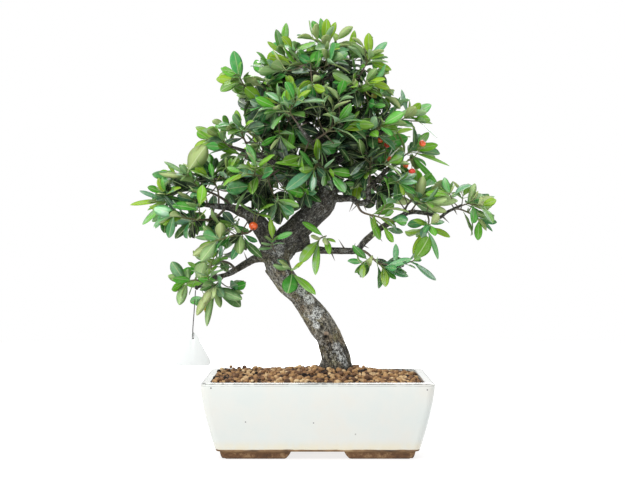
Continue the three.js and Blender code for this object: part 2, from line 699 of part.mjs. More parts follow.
// Pot: half length and half depth of its outer face at a height
function potHalf(height, rimHalf) {
  const drop = Math.max(POT_HEIGHT - height, 0) / (POT_HEIGHT - FLOOR_BOTTOM);
  return rimHalf - POT_TAPER * Math.pow(drop, POT_TAPER_POWER);
}

function wallAt(height) {
  return LIP_WIDTH - WALL_THINNING * THREE.MathUtils.clamp((POT_HEIGHT - height) / 20, 0, 1);
}

function roundedRectangle(halfX, halfY, radius) {
  const shape = new THREE.Shape();
  shape.moveTo(halfX, radius - halfY);
  shape.lineTo(halfX, halfY - radius);
  shape.absarc(halfX - radius, halfY - radius, radius, 0, Math.PI / 2);
  shape.absarc(radius - halfX, halfY - radius, radius, Math.PI / 2, Math.PI);
  shape.absarc(radius - halfX, radius - halfY, radius, Math.PI, Math.PI * 1.5);
  shape.absarc(halfX - radius, radius - halfY, radius, Math.PI * 1.5, Math.PI * 2);
  return shape;
}

// Tapering rounded block that follows the pot's side, set in from it by inset(height)
function potBlock(bottom, top, steps, inset) {
  const shape = roundedRectangle(POT_LENGTH / 2, POT_DEPTH / 2, POT_CORNER);
  const settings = { depth: top - bottom, steps, bevelEnabled: false, curveSegments: 2 };
  const geometry = new THREE.ExtrudeGeometry(shape, settings);
  const position = geometry.attributes.position;
  for (let i = 0; i < position.count; i += 1) {
    const height = position.getZ(i) + bottom;
    const scaleX = (potHalf(height, POT_LENGTH / 2) - inset(height)) / (POT_LENGTH / 2);
    const scaleY = (potHalf(height, POT_DEPTH / 2) - inset(height)) / (POT_DEPTH / 2);
    position.setXYZ(i, position.getX(i) * scaleX, position.getY(i) * scaleY, height);
  }
  return solidOf(geometry);
}

// One straight bar of a foot, slanted at both ends, along X or turned to lie along Y
function footBar(length, turned) {
  const height = FLOOR_BOTTOM + FOOT_SUNK - FOOT_BOTTOM;
  const outline = new THREE.Shape();
  outline.moveTo(FOOT_SLANT, 0);
  outline.lineTo(length - FOOT_SLANT, 0);
  outline.lineTo(length, height);
  outline.lineTo(0, height);
  outline.closePath();
  const geometry = new THREE.ExtrudeGeometry(outline, { depth: FOOT_WIDTH, steps: 1, bevelEnabled: false });
  geometry.rotateX(Math.PI / 2);
  geometry.translate(0, FOOT_WIDTH, FOOT_BOTTOM);
  if (turned) {
    geometry.rotateZ(Math.PI / 2);
    geometry.translate(FOOT_WIDTH, 0, 0);
  }
  return solidOf(geometry);
}

function cornerFoot(signX, signY) {
  const foot = footBar(FOOT_LONG, false).add(footBar(FOOT_SHORT, true));
  const cornerX = potHalf(FLOOR_BOTTOM, POT_LENGTH / 2) - FOOT_INSET;
  const cornerY = potHalf(FLOOR_BOTTOM, POT_DEPTH / 2) - FOOT_INSET;
  const placed = foot.translate([-cornerX, -cornerY, 0]);
  const turnedX = signX > 0 ? placed.mirror([1, 0, 0]) : placed;
  return signY > 0 ? turnedX.mirror([0, 1, 0]) : turnedX;
}

function drainPlaces() {
  return [-DRAIN_SPACING / 2, DRAIN_SPACING / 2];
}

function potSolid() {
  let pot = potBlock(FLOOR_BOTTOM, POT_HEIGHT, 5, () => 0);
  pot = pot.subtract(potBlock(FLOOR_TOP, POT_HEIGHT + MOUND_ROOM, 4, wallAt));
  for (const x of drainPlaces()) {
    const drain = new THREE.CylinderGeometry(DRAIN_RADIUS, DRAIN_RADIUS, 30, 12);
    drain.rotateX(Math.PI / 2);
    drain.translate(x, 0, FLOOR_TOP - 5);
    pot = pot.subtract(solidOf(drain));
  }
  for (const signX of [-1, 1]) {
    for (const signY of [-1, 1]) {
      pot = pot.add(cornerFoot(signX, signY));
    }
  }
  return pot;
}

function boxSolid(width, depth, height, x, y, bottom) {
  const box = new THREE.BoxGeometry(width, depth, height);
  box.translate(x, y, bottom + height / 2);
  return solidOf(box);
}

// A square of plastic mesh lying over one drain hole
function screenSolid(x) {
  let screen = boxSolid(SCREEN_SIZE, SCREEN_SIZE, SCREEN_THICKNESS, x, 0, FLOOR_TOP + GAP);
  const pitch = (SCREEN_SIZE - SCREEN_BAR) / SCREEN_CELLS;
  for (let i = 0; i < SCREEN_CELLS; i += 1) {
    for (let j = 0; j < SCREEN_CELLS; j += 1) {
      const cellX = x + (i - (SCREEN_CELLS - 1) / 2) * pitch;
      const cellY = (j - (SCREEN_CELLS - 1) / 2) * pitch;
      const size = pitch - SCREEN_BAR;
      screen = screen.subtract(boxSolid(size, size, SCREEN_THICKNESS * 3, cellX, cellY, FLOOR_TOP - 2));
    }
  }
  return screen;
}

function soilHeight(x, y) {
  const away = Math.hypot(x - TRUNK[2][0], y * 1.1) / SOIL_MOUND_REACH;
  return SOIL_EDGE_HEIGHT + SOIL_MOUND * Math.exp(-away * away) - SOIL_RIGHT_FALL * x;
}

// Block with a lattice of granules raised on its top: every third lattice point stands up
function granuleBlock() {
  const rowSpacing = (GRANULE_SPACING * Math.sqrt(3)) / 2;
  const rows = Math.ceil(POT_DEPTH / rowSpacing);
  const columns = Math.ceil((POT_LENGTH + (rows * GRANULE_SPACING) / 2) / GRANULE_SPACING);
  const width = columns * GRANULE_SPACING;
  const depth = rows * rowSpacing;
  const block = new THREE.BoxGeometry(width, depth, 2, columns, rows, 1);
  const position = block.attributes.position;
  for (let i = 0; i < position.count; i += 1) {
    const column = Math.round((position.getX(i) + width / 2) / GRANULE_SPACING);
    const row = Math.round((position.getY(i) + depth / 2) / rowSpacing);
    const shift = (rows / 2 - row) * (GRANULE_SPACING / 2);
    const x = position.getX(i) + shift + (chance(column, row) - 0.5) * 2;
    const y = position.getY(i) + (chance(row, column + 9) - 0.5) * 2;
    const raised = (column + row) % 3 === 0;
    const grain = raised ? GRANULE_RISE * mix(0.7, 1.2, chance(column, row + 5)) : chance(row, column);
    const top = soilHeight(x, y) + grain;
    position.setXYZ(i, x, y, position.getZ(i) > 0 ? top : FLOOR_TOP - 10);
  }
  return solidOf(block);
}

function soilSolid() {
  let soil = potBlock(FLOOR_TOP, POT_HEIGHT + MOUND_ROOM, 4, (height) => wallAt(height) + GAP);
  soil = soil.intersect(granuleBlock());
  soil = soil.subtract(woodClear);
  soil = soil.subtract(boxSolid(POT_LENGTH, POT_DEPTH, 10, 0, 0, FLOOR_TOP + GAP - 10));
  for (const x of drainPlaces()) {
    const size = SCREEN_SIZE + 2 * GAP;
    soil = soil.subtract(boxSolid(size, size, SCREEN_THICKNESS + 3 * GAP, x, 0, FLOOR_TOP - GAP / 2));
  }
  return mainBody(soil);
}

// Berries on curved stalks that meet in one common stalk
function bunchSolid(bunch, grow) {
  const fork = bunch.stalk[bunch.stalk.length - 1];
  const solids = [stickSolid(bunch.stalk.map((point) => [...point, STALK_RADIUS]), 3, grow)];
  for (const [x, y, z, radius] of bunch.fruit) {
    const middle = [mix(fork[0], x, 0.6), mix(fork[1], y, 0.7), mix(fork[2], z, 0.35) + 2];
    const route = [fork, middle, [x, y, z]].map((point) => [...point, STALK_RADIUS]);
    solids.push(stickSolid(route, 3, grow));
    const berry = new THREE.SphereGeometry(radius + grow, 6, 5);
    berry.translate(x, y, z);
    solids.push(solidOf(berry));
  }
  return mainBody(joined(solids).subtract(woodClear));
}

// Blank tag with rounded corners, its hole near the upper corner, hanging in the X-Z plane
function tagSolid(grow) {
  const r = TAG_CORNER;
  const corners = [[0, 0], [TAG_WIDTH / 2, -TAG_HEIGHT], [-TAG_WIDTH / 2, -TAG_HEIGHT]];
  const inner = corners.map(([x, z]) => [x * (1 - (2 * r) / TAG_WIDTH), z * (1 - (2 * r) / TAG_HEIGHT) - r]);
  const outline = new THREE.Shape();
  const turn = Math.atan2(TAG_HEIGHT, TAG_WIDTH / 2);
  outline.absarc(inner[0][0], inner[0][1], r, Math.PI / 2 + turn, Math.PI / 2 - turn, true);
  outline.absarc(inner[1][0], inner[1][1], r, Math.PI / 2 - turn, -Math.PI / 2, true);
  outline.absarc(inner[2][0], inner[2][1], r, -Math.PI / 2, -Math.PI * 1.5 + turn, true);
  const hole = new THREE.Path();
  hole.absarc(0, -TAG_HOLE_DROP, TAG_HOLE_RADIUS, 0, Math.PI * 2, false);
  outline.holes.push(hole);
  const depth = TAG_THICKNESS + 2 * grow;
  const settings = { depth, steps: 1, bevelEnabled: false, curveSegments: 2 };
  const geometry = new THREE.ExtrudeGeometry(outline, settings);
  geometry.rotateX(Math.PI / 2);
  geometry.translate(TAG_TOP[0], TAG_TOP[1] + depth / 2, TAG_TOP[2]);
  return solidOf(geometry);
}

// Thread from the branch down through the tag's hole
function threadRoute() {
  const [x, y, z] = TAG_TOP;
  const holeHeight = z - TAG_HOLE_DROP;
  const points = [
    THREAD_START, [mix(THREAD_START[0], x, 0.5), y - 0.4, 155], [x, y - 1.6, z + 4],
    [x, y - 2, holeHeight + 1.5], [x, y, holeHeight], [x, y + 2.4, holeHeight - 1.4],
  ];
  const curve = new THREE.CatmullRomCurve3(points.map(vector));
  const steps = Math.round(curve.getLength() / THREAD_STEP);
  return curve.getSpacedPoints(steps).map((point) => [...point.toArray(), THREAD_RADIUS]);
}

const COLOURS = {
  glaze: [0xe6e9e2, 0.25],
  soil: [0x8a5a36, 0.95],
  screen: [0x2b2d2c, 0.6],
  bark: [0x5f584b, 0.9],
  leaf: [0x2f6a26, 0.45],
  brightLeaf: [0x5c9a34, 0.45],
  paleLeaf: [0x8fb08a, 0.5],
  berry: [0xd8402a, 0.35],
  card: [0xf2f2ee, 0.5],
  thread: [0x2a2622, 0.8],
};

function material(name) {
  const [color, roughness] = COLOURS[name];
  return new THREE.MeshStandardMaterial({ name, color, roughness, metalness: 0 });
}

const pieces = [];

function add(name, solid, look) {
  pieces.push({ name, solid, look });
}

add("pot", potSolid(), "glaze");
drainPlaces().forEach((x, i) => add(i === 0 ? "screen_left" : "screen_right", screenSolid(x), "screen"));
add("soil", soilSolid(), "soil");
add("wood", woodSolid(0), "bark");

keep(tagSolid(0), "tag");
add("tag", tagSolid(0), "card");
const thread = mainBody(stickSolid(threadRoute(), THREAD_SIDES, 0).subtract(woodClear));
keep(thread, "thread");
add("thread", thread, "thread");

for (const [name, bunch] of Object.entries(BERRIES)) {
  const solid = bunchSolid(bunch, 0);
  keep(solid, name);
  add(name, solid, "berry");
}

const LEAF_TONES = ["leaf", "leaf", "brightLeaf", "leaf", "paleLeaf"];
const shoots = Object.entries(SHOOTS);
const stems = shoots.map(([name, shoot], number) => shootStems(shoot, number * 31 + 5, name));
shoots.forEach(([name, shoot], number) => {
  add(name, leafySolid(name, shoot, stems[number], number * 31 + 5), LEAF_TONES[number % LEAF_TONES.length]);
});

const whole = new THREE.Box3();
pieces.forEach((piece) => whole.union(boxOf(piece.solid)));
const middle = whole.getCenter(new THREE.Vector3());
const group = new THREE.Group();
for (const { name, solid, look } of pieces) {
  const placed = solid.translate([-middle.x, -middle.y, -whole.min.z]);
  const mesh = new THREE.Mesh(geometryOf(mainBody(solidOf(geometryOf(placed)))), material(look));
  mesh.name = name;
  group.add(mesh);
}

export default group;
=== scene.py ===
# Firethorn bonsai in a glazed pot: the looks of every piece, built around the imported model.
# Routes are in the pot's own millimetres: its centre over the origin, its feet on Z = FOOT_BOTTOM.

import itertools
import math

import bpy
from mathutils import Matrix, Vector, noise
from mathutils.kdtree import KDTree


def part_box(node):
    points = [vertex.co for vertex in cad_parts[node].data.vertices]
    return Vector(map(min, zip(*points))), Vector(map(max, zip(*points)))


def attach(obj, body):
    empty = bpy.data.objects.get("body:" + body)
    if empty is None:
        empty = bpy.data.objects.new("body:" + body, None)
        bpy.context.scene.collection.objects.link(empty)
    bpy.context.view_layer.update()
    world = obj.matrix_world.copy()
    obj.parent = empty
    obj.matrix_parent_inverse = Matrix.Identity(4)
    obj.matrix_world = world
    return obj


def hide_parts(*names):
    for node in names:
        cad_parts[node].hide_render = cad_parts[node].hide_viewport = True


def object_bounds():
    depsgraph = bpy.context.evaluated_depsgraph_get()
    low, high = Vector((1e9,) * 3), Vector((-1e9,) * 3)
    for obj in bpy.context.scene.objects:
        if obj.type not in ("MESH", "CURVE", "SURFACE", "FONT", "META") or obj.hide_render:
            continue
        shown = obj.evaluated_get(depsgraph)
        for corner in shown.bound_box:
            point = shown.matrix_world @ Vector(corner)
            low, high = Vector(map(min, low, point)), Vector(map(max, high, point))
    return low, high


bl_info = {
    "name": "Firethorn Bonsai",
    "version": (1, 0, 0),
    "blender": (4, 5, 0),
    "location": "View3D > Sidebar > Bonsai",
    "description": "Builds a firethorn bonsai with its pot, soil, leaves and berries",
    "category": "Add Mesh",
}

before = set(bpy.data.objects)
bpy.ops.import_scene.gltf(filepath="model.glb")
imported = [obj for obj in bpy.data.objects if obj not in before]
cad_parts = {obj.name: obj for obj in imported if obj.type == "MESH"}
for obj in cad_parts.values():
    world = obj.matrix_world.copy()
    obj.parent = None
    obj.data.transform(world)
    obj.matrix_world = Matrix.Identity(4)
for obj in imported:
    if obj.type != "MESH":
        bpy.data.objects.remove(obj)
FRAME_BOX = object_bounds()

MM = 0.001
FOOT_BOTTOM = -3.5
POT_LOW, POT_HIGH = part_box("pot")
POT_MIDDLE = (POT_LOW + POT_HIGH) / 2


def place(point):
    """A point in the pot's millimetres, as metres in the row's frame."""
    x, y, z = point
    return Vector((x * MM + POT_MIDDLE.x, y * MM + POT_MIDDLE.y, (z - FOOT_BOTTOM) * MM))


def mix(a, b, share):
    return a + (b - a) * share


def clamp(value, low=0.0, high=1.0):
    return max(low, min(high, value))


def smooth_step(low, high, value):
    t = clamp((value - low) / (high - low))
    return t * t * (3 - 2 * t)


def chance(first, second):
    """The same number between 0 and 1 every time for the same pair of whole numbers."""
    value = math.sin(first * 12.9898 + second * 78.233) * 43758.5453
    return value - math.floor(value)


# Trunk and branches, (x, y, z, radius) from root to tip
TRUNK = [
    (22, 0, 46, 7), (22, 0, 66, 13), (21, 0, 84, 18.5), (21, 0, 92, 17.5), (20, 0, 102, 15.5),
    (14, -2, 120, 14.5), (3, -5, 140, 14.8), (-5, -6, 153, 13.4), (-21, -7, 174, 12),
    (-35, -5, 189, 13.3), (-42, -2, 201, 13.6), (-46, 0, 214, 15.5), (-39, 2, 228, 16),
    (-23, 2, 247, 14.5), (-6, 0, 264, 14), (9, 0, 281, 13), (13, 0, 298, 10.3), (13, 2, 315, 7.5),
    (16, 4, 338, 6), (18, 4, 373, 4.5), (19, 2, 401, 3.4), (14, 0, 429, 2.4),
]
LIMBS = {
    "left": [(-46, 0, 222, 13), (-63, -5, 249, 11), (-77, -9, 264, 8), (-88, -11, 268, 6),
        (-99, -12, 272, 4.2), (-118, -10, 274, 3.2), (-133, -8, 276, 2.4), (-147, -6, 274, 1.8)],
    "low_left": [(-48, 0, 216, 7), (-60, -2, 215, 5.5), (-71, 2, 214, 4.8), (-81, 6, 209, 4.4),
        (-97, 11, 199, 3.6), (-106, 11, 195, 3), (-123, 7, 191, 2.2), (-130, 4, 184, 2),
        (-140, -1, 180, 1.6)],
    "up_left": [(8, 0, 299, 6), (-8, -4, 308, 5), (-31, -8, 314, 4.3), (-52, -11, 324, 3.6),
        (-63, -12, 330, 3.2), (-88, -12, 338, 2.3), (-101, -10, 342, 1.6)],
    "right_mid": [(14, 0, 286, 6), (23, -4, 283, 4.6), (39, -12, 282, 3.7), (46, -14, 277, 3.4),
        (57, -16, 280, 3.4), (58, -15, 294, 3.2), (65, -12, 301, 3), (78, -8, 314, 2.4),
        (92, -6, 326, 1.6)],
    "low_right": [(-37, 4, 224, 7), (-14, 14, 228, 5), (0, 10, 224, 4.4), (31, -2, 223, 3.9),
        (45, -6, 224, 3.8), (53, -8, 233, 3.8), (68, -10, 246, 3.7), (87, -10, 258, 3.3),
        (106, -8, 267, 2.8), (126, -6, 265, 2.4), (139, -6, 261, 2.2), (147, -8, 267, 2.1),
        (164, -12, 275, 1.6)],
    "top_left": [(16, 4, 338, 4.5), (-10, -15, 365, 3.4), (-45, -25, 388, 2.6), (-70, -30, 402, 1.8)],
    "top_front": [(13, 2, 318, 4.5), (2, -28, 335, 3.4), (-14, -60, 352, 2.4), (-22, -80, 362, 1.8)],
    "top_right": [(18, 4, 376, 3.6), (36, -8, 402, 2.6), (48, -16, 420, 1.8)],
    "crown_right": [(13, 2, 318, 4.5), (38, -6, 336, 3.4), (62, -16, 350, 2.6), (84, -22, 364, 1.8)],
    "top_back": [(17, 4, 350, 4.2), (6, 36, 368, 3.2), (-12, 66, 382, 2.2), (-20, 80, 392, 1.7)],
    "back_left": [(-8, 0, 264, 6), (-20, 34, 282, 4.2), (-38, 66, 300, 3), (-52, 90, 318, 1.9)],
    "back_right": [(9, 0, 284, 5), (32, 32, 300, 3.8), (54, 60, 316, 2.8), (70, 80, 332, 1.8)],
}

# Leafy shoots: path (x, y, z, radius), number of side shoots, usual leaf length, and
# (x, y, z, width) of the leaves that are drawn out to a given point
SHOOTS = {
    "low_left_tip": ([(-129, 4, 185, 1.6), (-138, -7, 190, 1.5), (-151, -6, 187, 1.1)], 0, 28,
        [(-165, -8, 211, 14), (-166, -2, 178, 10), (-157, -12, 162, 12), (-148, 4, 203, 8),
        (-128, -14, 209, 18)]),
    "low_left_fork": ([(-107, 11, 194, 2.2), (-112, 0, 188, 1.8), (-118, -14, 182, 1.2)], 0, 31,
        [(-85, -24, 170, 14), (-86, -12, 161, 18), (-109, -22, 160, 9), (-136, -22, 151, 10),
        (-125, -16, 138, 8)]),
    "low_left_mid": ([(-117, 9, 192, 1.7), (-122, 8, 203, 1.4), (-119, 8, 214, 1)], 1, 24, []),
    "low_left_back": ([(-93, 10, 201, 2.6), (-103, 22, 209, 2.2), (-119, 36, 212, 1.9),
        (-134, 50, 213, 1.2)], 2, 28, []),
    "left_tip": ([(-146, -6, 274, 1.8), (-160, -8, 277, 1.5), (-174, -9, 280, 1.1)], 1, 26,
        [(-201, -14, 292, 6), (-214, -10, 277, 8), (-201, -4, 254, 10), (-183, -18, 249, 7),
        (-196, 6, 271, 8)]),
    "left_rise": ([(-125, -9, 275, 2.2), (-127, -12, 284, 2), (-133, -14, 292, 1.7),
        (-148, -17, 311, 1.2)], 1, 28, [(-126, -26, 341, 22), (-139, -10, 339, 12), (-172, -20, 325, 7),
        (-180, -12, 313, 9)]),
    "left_front": ([(-104, -12, 271, 2.8), (-118, -26, 259, 2.3), (-142, -42, 259, 1.7),
        (-160, -50, 263, 1.2)], 2, 28, [(-164, -56, 238, 10)]),
    "left_back": ([(-92, -10, 269, 2.8), (-109, 6, 283, 2.4), (-130, 26, 293, 1.9), (-156, 50, 302, 1.2)],
        2, 30, []),
    "left_mid_up": ([(-112, -11, 273, 2), (-112, -20, 290, 1.6), (-118, -30, 306, 1.1)], 2, 28, []),
    "left_inner_up": ([(-84, -11, 267, 2.2), (-86, 2, 285, 1.8), (-92, 14, 306, 1.2)], 2, 30, []),
    "left_inner_low": ([(-118, -10, 273, 2), (-119, 6, 258, 1.6), (-116, 20, 246, 1.1)], 2, 28, []),
    "mid_left": ([(-70, -8, 256, 2.8), (-76, -20, 245, 2.2), (-95, -38, 240, 1.8), (-114, -48, 234, 1.2)],
        1, 28, [(-138, -54, 219, 10), (-128, -62, 213, 14), (-136, -44, 240, 9), (-125, -58, 251, 12),
        (-107, -56, 254, 12), (-90, -50, 252, 9)]),
    "up_left_tip": ([(-100, -10, 342, 1.6), (-110, -9, 350, 1.1)], 1, 31, [(-137, -16, 364, 11),
        (-120, -2, 361, 11)]),
    "up_left_mid": ([(-76, -12, 334, 2), (-82, -22, 348, 1.6), (-88, -34, 362, 1.1)], 2, 30, []),
    "up_left_front": ([(-40, -9, 318, 2.6), (-52, -27, 309, 2.2), (-68, -44, 307, 1.7),
        (-86, -58, 310, 1.1)], 2, 30, []),
    "up_left_back": ([(-60, -12, 329, 2.6), (-73, 12, 331, 2.1), (-90, 38, 335, 1.7),
        (-108, 62, 343, 1.1)], 2, 30, []),
    "up_left_low": ([(-46, -10, 321, 2), (-56, -4, 308, 1.5), (-64, 8, 296, 1.1)], 2, 28, []),
    "top_left_tip": ([(-69, -30, 402, 1.8), (-80, -32, 407, 1.4), (-90, -34, 413, 1)], 1, 28,
        [(-113, -36, 416, 13), (-108, -42, 402, 13), (-93, -30, 448, 15), (-108, -28, 430, 10)]),
    "top_left_low": ([(-30, -21, 378, 2.2), (-44, -38, 378, 1.8), (-62, -56, 384, 1.1)], 2, 30, []),
    "top_left_mid": ([(-52, -26, 392, 2), (-54, -12, 406, 1.6), (-58, 2, 422, 1.1)], 2, 28, []),
    "top_left_high": ([(18, 4, 380, 2.6), (-6, 2, 408, 2.2), (-26, -2, 430, 1.6), (-40, -4, 448, 1.1)], 2,
        28, [(-46, -12, 474, 10), (-35, -8, 482, 9), (-56, -6, 462, 9)]),
    "apex": ([(15, 1, 426, 2.4), (11, -2, 444, 1.8), (8, -3, 462, 1.1)], 2, 28, [(4, -8, 488, 8),
        (-5, -2, 486, 12), (11, -6, 487, 11), (21, 2, 485, 8)]),
    "apex_right": ([(18, 2, 405, 2.2), (28, 12, 426, 1.7), (38, 16, 446, 1.1)], 2, 28,
        [(43, 10, 476, 8)]),
    "top_right_tip": ([(47, -16, 419, 1.8), (54, -20, 432, 1.5), (60, -22, 442, 1.1)], 1, 28,
        [(58, -26, 468, 11), (78, -22, 459, 9), (74, -32, 443, 12), (84, -20, 428, 10)]),
    "top_right_front": ([(33, -6, 398, 2.1), (44, -28, 402, 1.7), (56, -48, 410, 1.1)], 2, 28,
        [(80, -50, 404, 10)]),
    "top_right_back": ([(26, -1, 388, 2.2), (44, 22, 398, 1.8), (60, 42, 410, 1.1)], 2, 30, []),
    "top_front_high": ([(18, 2, 399, 2.4), (4, -24, 415, 1.9), (-8, -48, 432, 1.2)], 2, 28, []),
    "top_back_high": ([(18, 3, 392, 2.4), (6, 30, 412, 1.9), (-8, 54, 432, 1.2)], 2, 28, []),
    "top_front_tip": ([(-21, -79, 361, 1.8), (-28, -90, 370, 1.4), (-32, -98, 380, 1)], 2, 30, []),
    "top_front_right": ([(-6, -44, 344, 2.2), (10, -62, 354, 1.8), (24, -78, 366, 1.1)], 2, 30, []),
    "top_front_low": ([(6, -18, 329, 2.2), (0, -36, 322, 1.8), (-4, -46, 312, 1.2)], 1, 30,
        [(1, -62, 345, 12), (-18, -64, 334, 10), (-46, -52, 323, 10), (-34, -62, 292, 13)]),
    "top_back_left": ([(-12, 66, 382, 2), (-34, 78, 390, 1.7), (-56, 84, 400, 1.1)], 2, 30, []),
    "top_back_tip": ([(-19, 79, 391, 1.7), (-16, 92, 402, 1.4), (-8, 102, 412, 1)], 2, 30, []),
    "top_back_right": ([(6, 36, 368, 2.2), (28, 58, 376, 1.8), (46, 78, 386, 1.1)], 2, 30, []),
    "crown_right_tip": ([(83, -22, 363, 1.8), (94, -24, 370, 1.4), (103, -26, 376, 1)], 2, 28,
        [(95, -30, 404, 6), (127, -30, 388, 13), (130, -22, 368, 7)]),
    "crown_right_front": ([(54, -13, 346, 2.2), (62, -36, 354, 1.8), (72, -58, 364, 1.1)], 2, 30, []),
    "crown_right_back": ([(40, -6, 338, 2.2), (58, 18, 350, 1.8), (76, 38, 362, 1.1)], 2, 30, []),
    "right_rise_tip": ([(91, -6, 325, 1.7), (100, -7, 332, 1.4), (108, -8, 338, 1)], 1, 28,
        [(136, -14, 344, 11), (126, -10, 358, 10), (151, -8, 322, 7), (138, -2, 302, 8)]),
    "right_thin": ([(58, -15, 296, 2.2), (59, -26, 312, 1.8), (60, -40, 332, 1.1)], 2, 28, []),
    "right_drop": ([(44, -14, 278, 2.4), (50, -25, 267, 2.1), (65, -35, 262, 1.8), (86, -46, 256, 1.1)],
        2, 27, []),
    "right_fan": ([(105, -8, 266, 2), (110, -16, 274, 1.5), (114, -22, 281, 1.1)], 1, 28,
        [(157, -30, 281, 14), (86, -28, 309, 13), (118, -34, 306, 11)]),
    "right_end": ([(163, -12, 274, 1.6), (174, -13, 278, 1.1)], 1, 26, [(199, -16, 284, 10),
        (178, -18, 299, 8), (196, -8, 272, 8)]),
    "right_tip": ([(144, -7, 265, 1.8), (159, 4, 271, 1.7), (175, 10, 266, 1.5), (188, 12, 258, 1.1)], 1,
        26, [(203, 8, 264, 7), (185, 10, 235, 10), (203, 16, 246, 8)]),
    "right_hang": ([(125, -6, 265, 1.8), (126, -16, 256, 1.5), (122, -20, 246, 1.1)], 1, 28,
        [(110, -24, 214, 14), (137, -22, 214, 7), (150, -22, 240, 10)]),
    "right_down": ([(43, -6, 224, 2.8), (54, -16, 222, 2.4), (66, -30, 211, 2), (75, -36, 204, 1.2)], 2,
        27, [(104, -42, 215, 9), (102, -36, 196, 9), (76, -44, 184, 10), (42, -42, 200, 8)]),
    "right_back": ([(97, -9, 263, 2.4), (104, 16, 276, 2), (114, 40, 283, 1.6), (126, 62, 290, 1.1)], 2,
        30, []),
    "back_left": ([(-51, 89, 317, 1.9), (-60, 100, 330, 1.5), (-68, 108, 344, 1.1)], 2, 31, []),
    "back_right": ([(69, 79, 331, 1.8), (80, 90, 344, 1.5), (88, 98, 356, 1.1)], 2, 31, []),
    "trunk_low": ([(-28, -6, 184, 2), (-29, -20, 199, 1.6), (-30, -28, 204, 1.1)], 0, 26,
        [(-33, -37, 177, 18), (-2, -35, 176, 11), (-42, -34, 213, 9)]),
    "trunk_mid": ([(0, 10, 225, 2), (2, -6, 236, 1.7), (10, -18, 240, 1.1)], 0, 26, [(-19, -32, 211, 12),
        (14, -26, 220, 8), (-2, -30, 198, 9), (-16, -24, 256, 9)]),
}
# Small sprays of leaves in front of the trunk's fork, as the shoots above
SPRAYS = {
    "fork": ([(-47, -12, 221, 1.4), (-51, -22, 229, 1.2), (-50, -26, 237, 1)], 0, 16, [(-29, -36, 244, 8),
        (-52, -32, 259, 7), (-66, -34, 226, 6)]),
    "fork_left": ([(-77, -14, 259, 1.5), (-84, -25, 246, 1.2), (-84, -30, 236, 1)], 0, 20,
        [(-62, -38, 217, 10), (-96, -38, 214, 9)]),
    "right_low": ([(70, -33, 209, 1.4), (89, -36, 207, 1.2), (108, -38, 212.5, 1)], 0, 17,
        [(124, -38, 239, 17), (133.5, -37, 191.5, 9), (87.6, -36, 231, 7)]),
}

# Old pruning scars and burrs on the trunk, (x, y, z, radius)
KNOTS = [(9, -12, 127, 7), (-17, -4, 235, 9), (-56, -4, 224, 10), (-1, 6, 265, 10)]

# Berry bunches: the common stalk, then (x, y, z, radius) of each berry
BERRIES = {
    "berries_left": ([(-76, -9, 266), (-67, -20, 274)], [(-72, -28, 251, 5)]),
    "berries_right": ([(78, -8, 314), (76, -20, 334)], [(70, -30, 348, 4.2), (78, -32, 342, 3.6),
        (81, -30, 326, 3.4)]),
    "berries_far_right": ([(84, -7, 319), (93, -20, 321), (106, -26, 326)], [(118, -26, 344, 4),
        (99, -27, 319, 3.2), (106, -28, 312, 4)]),
}

# Hang tag and thread
TAG_TOP = (-142, -1, 129)
TAG_HOLE_DROP = 5
THREAD_START = (-139, -1, 178)
THREAD_STEP = 3.3

# How the leaves stand on a stem
GOLDEN_ANGLE = 2.39996
SIDE_SHOOT_LENGTH = 24
SIDE_SHOOT_LEAVES = 6
MAIN_SHOOT_LEAVES = 8
TIP_LEAF_START = 1.2
TIP_LEAF_STEP = 1.3
LEAF_SLOTS = ["leaf", "leaf", "bright_leaf", "leaf", "pale_leaf"]

# Leafy parts of the crown that thin twigs fill: middle (x, y, z), then half of each size
LEAF_MASSES = {
    "dome": (-3, 0, 380, 92, 74, 78),
    "inner": (-16, -6, 332, 62, 50, 50),
    "left": (-122, -8, 285, 64, 42, 38),
    "low_left": (-122, 0, 188, 30, 28, 22),
    "mid_left": (-70, -18, 276, 42, 34, 38),
    "mid_right": (74, -8, 305, 42, 34, 26),
    "right": (128, -6, 285, 48, 34, 22),
    "back_left": (-34, 66, 305, 44, 40, 34),
    "back_right": (52, 58, 322, 42, 38, 34),
}
# Edge of the crown as seen from the front, (x, z) at the trunk's depth
CROWN_EDGE = [
    (-12, 490), (20, 490), (60, 470), (80, 455), (82, 430), (80, 408), (112, 396), (132, 382), (126, 362),
    (146, 355), (152, 335), (146, 315), (166, 304), (202, 288), (208, 262), (205, 240), (188, 232),
    (170, 242), (166, 256), (144, 256), (130, 236), (138, 196), (104, 196), (92, 178), (66, 178),
    (50, 194), (20, 210), (12, 168), (-20, 162), (-52, 178), (-60, 210), (-77, 210), (-82, 166),
    (-115, 166), (-124, 138), (-140, 138), (-145, 165), (-164, 164), (-174, 205), (-150, 230),
    (-188, 250), (-216, 268), (-214, 298), (-176, 338), (-138, 354), (-138, 380), (-122, 392),
    (-122, 415), (-110, 430), (-100, 456), (-76, 448), (-56, 470), (-46, 485),
]
# Clear views into the crown from the front: (x, z, radius)
CLEARINGS = [
    (-20, 341, 9), (-47, 300, 7), (32, 322, 6), (-28, 333, 6), (-122, 272, 7), (-108, 271, 6),
    (-95, 268, 6), (-82, 264, 7), (-72, 251, 9), (-127, 247, 9), (-101, 217, 8), (-62, 331, 6),
    (8, 248, 6), (16, 243, 6), (12, 226, 7), (-30, 212, 5), (-19, 199, 5), (-32, 195, 4),
]
# Shoots whose leaves turn their pale underside to the front
PALE_SHOOTS = ["low_left_tip", "low_left_fork", "left_rise", "right_fan", "right_end", "mid_left"]
